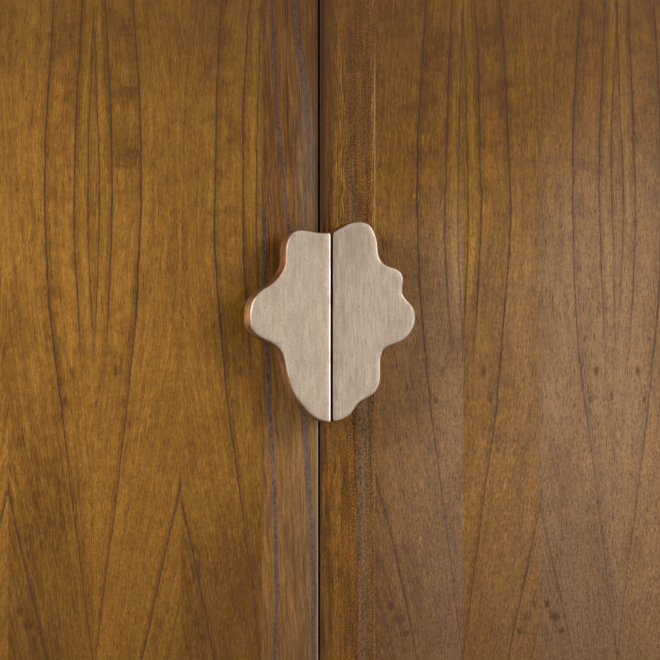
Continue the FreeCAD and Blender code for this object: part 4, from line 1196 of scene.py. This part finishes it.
def as_object(name, mesh):
    """An object of the finished mesh, its faces turned outwards."""
    bmesh.ops.recalc_face_normals(mesh, faces=mesh.faces)
    data = bpy.data.meshes.new(name)
    mesh.to_mesh(data)
    mesh.free()
    return add_object(name, data)


def plain_mesh(made):
    """Works the modifiers into the mesh and shades it smooth up to sharp corners."""
    depsgraph = bpy.context.evaluated_depsgraph_get()
    data = bpy.data.meshes.new_from_object(made.evaluated_get(depsgraph))
    made.modifiers.clear()
    made.data = data
    for face in data.polygons:
        face.use_smooth = True
    data.set_sharp_from_angle(angle=math.radians(35.0))


def cut_and_ease(name, mesh, cutter, ease):
    """An object of the mesh, less the cutter's mesh, with its sharp edges eased."""
    made = as_object(name, mesh)
    tool = as_object(name + "_cutter", cutter) if cutter else None
    if tool:
        cut = made.modifiers.new("recess", "BOOLEAN")
        cut.object, cut.solver = tool, "EXACT"
    if ease:
        bevel = made.modifiers.new("eased edges", "BEVEL")
        bevel.width, bevel.segments = ease * MM, 2
        bevel.limit_method, bevel.angle_limit = "ANGLE", math.radians(40.0)
    plain_mesh(made)
    if tool:
        bpy.data.objects.remove(tool)
    return made


print("shapes ready, a circle has", len(circle(1.0)), "points")

# %% One screw of each kind
def thread(radius, start, end, pitch):
    """Circles that swell and shrink like a thread, down to a point."""
    made = [(radius, start)]
    for step in range(int((start - end - 2.0) / pitch)):
        top = start - step * pitch
        made += [(radius * 0.76, top - 0.3 * pitch), (radius, top - 0.8 * pitch)]
    return made + [(radius * 0.76, end + 1.8), (0.15, end)]


def screw(name, head, radius, start, length, pitch, recess):
    """A screw with its outer end at height 0: head profile, thread, and a recess of outlines."""
    mesh, cutter = bmesh.new(), bmesh.new()
    spun(mesh, list(head) + thread(radius, -start, -length, pitch))
    stack(cutter, recess)
    return cut_and_ease(name, mesh, cutter, 0.0)


def slot(reach, half, depth):
    """The outlines of a straight recess for a flat blade."""
    outline = [(-reach, -half), (reach, -half), (reach, half), (-reach, half)]
    return [(outline, 0.4), (outline, -depth)]


def cross(reach, half, depth):
    """The outlines of a cross recess that narrows as it goes down."""
    def plus(a, b):
        return [(a, b), (b, b), (b, a), (-b, a), (-b, b), (-a, b), (-a, -b), (-b, -b),
                (-b, -a), (b, -a), (b, -b), (a, -b)]
    return [(plus(reach * 1.1, half * 1.1), 0.4), (plus(reach, half), 0.0),
            (plus(reach * 0.45, half * 0.6), -depth)]


flush_head = ((2.95, 0.0), (3.2, -0.2), (3.2, -0.45), (1.75, -1.8))
round_head = ((0.9, 0.0), (1.9, -0.12), (2.7, -0.5), (3.15, -1.1), (3.2, -1.6), (3.0, -1.8),
              (1.75, -1.8))
pull_head = ((1.5, 0.0), (3.0, -0.15), (4.2, -0.65), (4.85, -1.5), (5.0, -2.6), (4.8, -3.2),
             (2.5, -3.2))
# Each screw: its head, radius, where the thread starts, its length, pitch and recess
slotted = screw("slotted_screw", flush_head, 1.75, 5.0, 15.0, 1.4, slot(4.0, 0.4, 0.9))
crossed = screw("crossed_screw", flush_head, 1.75, 5.0, 15.0, 1.4, cross(1.9, 0.42, 1.5))
rounded = screw("rounded_screw", round_head, 1.75, 6.0, 23.8, 1.4, cross(1.9, 0.42, 1.5))
machine = screw("machine_screw", pull_head, 2.5, 16.0, 40.2, 0.8, cross(2.9, 0.55, 2.4))

print("screws", [made.name for made in (slotted, crossed, rounded, machine)])

# %% One shelf pin, glide and bumper
mesh = bmesh.new()
spade = [(-4.5, -8.0), (4.5, -8.0), (4.5, -3.0), (3.9, -1.3), (2.4, -0.25), (0.0, 0.0),
         (-2.4, -0.25), (-3.9, -1.3), (-4.5, -3.0)]
stack(mesh, [(spade, -1.5), (spade, 1.5)], Matrix.Rotation(math.radians(90.0), 4, "X"))
shelf_pin = cut_and_ease("spade_pin", mesh, None, 0.35)
mesh = bmesh.new()
mesh.from_mesh(shelf_pin.data)
spun(mesh, ((2.45, -7.5), (2.45, -16.6), (1.9, -17.45)))
mesh.to_mesh(shelf_pin.data)
mesh.free()
plain_mesh(shelf_pin)

mesh, cutter = bmesh.new(), bmesh.new()
spun(mesh, ((6.8, 0.0), (8.0, -0.3), (8.75, -1.0), (9.0, -1.9), (9.0, -3.6), (8.7, -4.0)), 36)
spun(cutter, ((3.0, 0.4), (2.6, -2.1)))
glide = cut_and_ease("round_glide", mesh, cutter, 0.0)
mesh = bmesh.new()
spun(mesh, ((1.0, 0.0), (2.0, -0.1), (2.9, -0.45), (3.35, -1.0), (3.5, -1.7)))
bumper = cut_and_ease("soft_bumper", mesh, None, 0.0)
templates = [slotted, crossed, rounded, machine, shelf_pin, glide, bumper]
print("templates", {made.name: len(made.data.polygons) for made in templates})

# %% [markdown]
# ## Geometry Nodes set them in place
#
# A few points carry an attribute, turn, that says which way each piece faces. The tree puts
# the piece on every point, adds a random turn about its own axis, because no screw stops at
# the same turn as the next, makes the copies real and gives them their metal.

# %% The tree that repeats a piece on points
def add_node(tree, kind, inputs=(), **settings):
    made = tree.nodes.new(kind)
    for name, value in settings.items():
        setattr(made, name, value)
    for name, source in inputs:
        tree.links.new(source, made.inputs[name])
    return made


repeat = bpy.data.node_groups.new("repeat on points", "GeometryNodeTree")
sockets = {}
for label, kind in (("Points", "NodeSocketGeometry"), ("Piece", "NodeSocketObject"),
                    ("Spin", "NodeSocketFloat"), ("Seed", "NodeSocketInt"),
                    ("Material", "NodeSocketMaterial")):
    sockets[label] = repeat.interface.new_socket(label, in_out="INPUT", socket_type=kind).identifier
repeat.interface.new_socket("Geometry", in_out="OUTPUT", socket_type="NodeSocketGeometry")
given = add_node(repeat, "NodeGroupInput").outputs
piece_node = add_node(repeat, "GeometryNodeObjectInfo", [("Object", given["Piece"])])
turn = add_node(repeat, "GeometryNodeInputNamedAttribute", data_type="FLOAT_VECTOR")
turn.inputs["Name"].default_value = "turn"
facing = add_node(repeat, "FunctionNodeEulerToRotation", [("Euler", turn.outputs["Attribute"])])
lowest_turn = add_node(repeat, "ShaderNodeMath", [(0, given["Spin"])], operation="MULTIPLY")
lowest_turn.inputs[1].default_value = -1.0
chance = add_node(repeat, "FunctionNodeRandomValue", [
    (2, lowest_turn.outputs[0]), (3, given["Spin"]), ("Seed", given["Seed"])], data_type="FLOAT")
about = add_node(repeat, "ShaderNodeCombineXYZ", [("Z", chance.outputs[1])])
spin = add_node(repeat, "FunctionNodeEulerToRotation", [("Euler", about.outputs[0])])
both = add_node(repeat, "FunctionNodeRotateRotation", [
    ("Rotation", facing.outputs[0]), ("Rotate By", spin.outputs[0])], rotation_space="LOCAL")
copies = add_node(repeat, "GeometryNodeInstanceOnPoints", [
    ("Points", given["Points"]), ("Instance", piece_node.outputs["Geometry"]),
    ("Rotation", both.outputs[0])])
real = add_node(repeat, "GeometryNodeRealizeInstances", [("Geometry", copies.outputs[0])])
dressed = add_node(repeat, "GeometryNodeSetMaterial", [
    ("Geometry", real.outputs[0]), ("Material", given["Material"])])
add_node(repeat, "NodeGroupOutput", [("Geometry", dressed.outputs[0])])
print("tree", repeat.name, "inputs", list(sockets))

# %% Set each kind on the places of its CAD solids
def set_on_solids(node, template, facing, material, body, spin=0.0, seed=1):
    """One plain mesh of the template on every solid of a node, in place of that node."""
    spots = outer_ends(node, facing)
    data = bpy.data.meshes.new(node)
    data.from_pydata([place for place, _ in spots], [], [])
    turns = data.attributes.new("turn", "FLOAT_VECTOR", "POINT")
    for item, (_, way) in zip(turns.data, spots):
        item.vector = way.to_track_quat("Z", "Y").to_euler()
    made = add_object("detailed_" + node, data)
    modifier = made.modifiers.new("repeat", "NODES")
    modifier.node_group = repeat
    for label, value in (("Piece", template), ("Spin", spin), ("Seed", seed),
                         ("Material", material)):
        modifier[sockets[label]] = value
    plain_mesh(made)
    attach(made, body)
    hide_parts(node)
    print(made.name, len(spots), "copies,", len(made.data.polygons), "faces")


# %% Which way each kind faces, and where it goes
any_turn = math.radians(90.0)   # a recess may stop this far round to either side
hinge_middle = 0.468            # height halfway between the upper and lower hinges
bay_middle = 0.3                # about halfway from the partition to a side board


def to_middle(middle):
    """Up or down, towards the middle of the cabinet's height."""
    return (0, 0, 1 if middle.z < hinge_middle else -1)


def from_middle(middle):
    """Up or down, away from the middle of the cabinet's height."""
    return (0, 0, -1 if middle.z < hinge_middle else 1)


def into_bay(middle):
    """Sideways, away from the panel that holds the pin."""
    outwards = math.copysign(1, middle.x)
    return (-outwards if abs(middle.x) > bay_middle else outwards, 0, 0)


def always(*way):
    """The same way wherever the solid is."""
    return lambda middle: way


set_on_solids("case_hinge_screws", slotted, to_middle, brass, "case", any_turn, 2)
set_on_solids("back_panel_screws", rounded, always(0, 1, 0), steel, "case", any_turn, 3)
set_on_solids("catch_screws", crossed, always(0, 0, -1), steel, "case", any_turn, 4)
set_on_solids("shelf_pins", shelf_pin, into_bay, brass, "case")
set_on_solids("glides", glide, always(0, 0, -1), dark_plastic, "case")
set_on_solids("door_bumpers", bumper, always(0, -1, 0), rubber, "case")
for number, hand in enumerate(("left", "right")):
    body = hand + "_door"
    for node, template, facing, material, seed in (
            (body + "_hinge_screws", slotted, from_middle, brass, 5),
            (hand + "_strike_screw", crossed, always(0, 1, 0), steel, 7),
            (hand + "_pull_screws", machine, always(0, 1, 0), steel, 9)):
        set_on_solids(node, template, facing, material, body, any_turn, seed + number)
for made in templates:
    bpy.data.objects.remove(made)

# %% [markdown]
# ## Knife hinges
#
# A knife hinge is two flat brass leaves on one pin, one let into the case and one into the
# door's end, so that only the round knuckle shows at the door's corner. Each leaf is one
# outline: a half circle round the pin, a neck and a long strap with softened corners. The
# outline is given for the left side, and the other leaves mirror it.

# %% The outline of a leaf
pin_x, pin_y, knuckle_radius = 573.5, -207.5, 6.0
strap_front, strap_back, strap_end = -199.0, -187.0, 519.5
leaf_thickness, knuckle_stand, pin_reach = 2.5, 1.6, 4.1
screw_places = (546.5, 529.22)
# Each leaf: the height of its screw face, and the way from there into the wood
case_faces = ((830.0, 1), (106.0, -1))
door_faces = ((828.4, -1), (107.6, 1))
screw_sink = ((3.3, -0.5), (3.25, 0.35), (1.9, 1.85), (1.9, 3.0))
pin_bore = ((2.6, -0.5), (2.6, 3.0))
raised_knuckle = ((5.5, -knuckle_stand), (5.85, -1.45), (6.0, -1.1), (6.0, 0.3))
pin = ((2.0, -pin_reach), (2.5, -pin_reach + 0.5), (2.5, -1.0))


def leaf_outline():
    """Points of (x, y) round a left-hand leaf."""
    def arc(x, y, radius, angles):
        return [(x + radius * math.cos(math.radians(angle)),
                 y + radius * math.sin(math.radians(angle))) for angle in angles]

    points = arc(-pin_x, pin_y, knuckle_radius, range(180, 361, 12))
    points += [(-pin_x + knuckle_radius, strap_front)]
    ease = 1.6
    for x, y, start in ((-strap_end - ease, strap_front + ease, 270),
                        (-strap_end - ease, strap_back - ease, 0),
                        (-pin_x - knuckle_radius + ease, strap_back - ease, 90)):
        points += arc(x, y, ease, range(start, start + 91, 30))
    return points


print("leaf outline", len(leaf_outline()), "points")

# %% One leaf, and a pair of them as one piece
def hinge_leaf(name, side, face, inward, with_pin):
    """A leaf from its screw face inwards. Case leaves carry the raised knuckle and the pin."""
    mesh, cutter = bmesh.new(), bmesh.new()
    stack(mesh, [(leaf_outline(), 0.0), (leaf_outline(), leaf_thickness)])
    holes = [(x, (strap_front + strap_back) / 2, screw_sink) for x in screw_places]
    if not with_pin:
        holes.append((pin_x, pin_y, pin_bore))
    for x, y, profile in holes:
        stack(cutter, [([(-x + u, y + v) for u, v in circle(radius)], height)
                       for radius, height in profile])
    made = cut_and_ease(name, mesh, cutter, 0.25)
    mesh = bmesh.new()
    mesh.from_mesh(made.data)
    if with_pin:
        for profile in (raised_knuckle, pin):
            stack(mesh, [([(-pin_x + u, pin_y + v) for u, v in circle(radius, 32)], height)
                         for radius, height in profile])
    for corner in mesh.verts:
        corner.co.x *= -side
        corner.co.z = face * MM + inward * corner.co.z
    bmesh.ops.recalc_face_normals(mesh, faces=mesh.faces)
    mesh.to_mesh(made.data)
    mesh.free()
    return made


def leaves_as_one(name, leaves, body, node):
    """Joins finished leaves into one piece that replaces a CAD node."""
    mesh = bmesh.new()
    for leaf in leaves:
        mesh.from_mesh(leaf.data)
        bpy.data.objects.remove(leaf)
    made = as_object(name, mesh)
    made.data.materials.append(brass)
    plain_mesh(made)
    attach(made, body)
    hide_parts(node)
    print(name, len(made.data.polygons), "faces")


# %% All the leaves
leaves_as_one("detailed_case_hinge_leaves", [
    hinge_leaf("leaf", side, face, inward, True) for side in (-1, 1)
    for face, inward in case_faces], "case", "case_hinge_leaves")
for hand, side in (("left", -1), ("right", 1)):
    leaves_as_one("detailed_" + hand + "_hinge_leaves", [
        hinge_leaf("leaf", side, face, inward, False) for face, inward in door_faces],
        hand + "_door", hand + "_door_hinge_leaves")
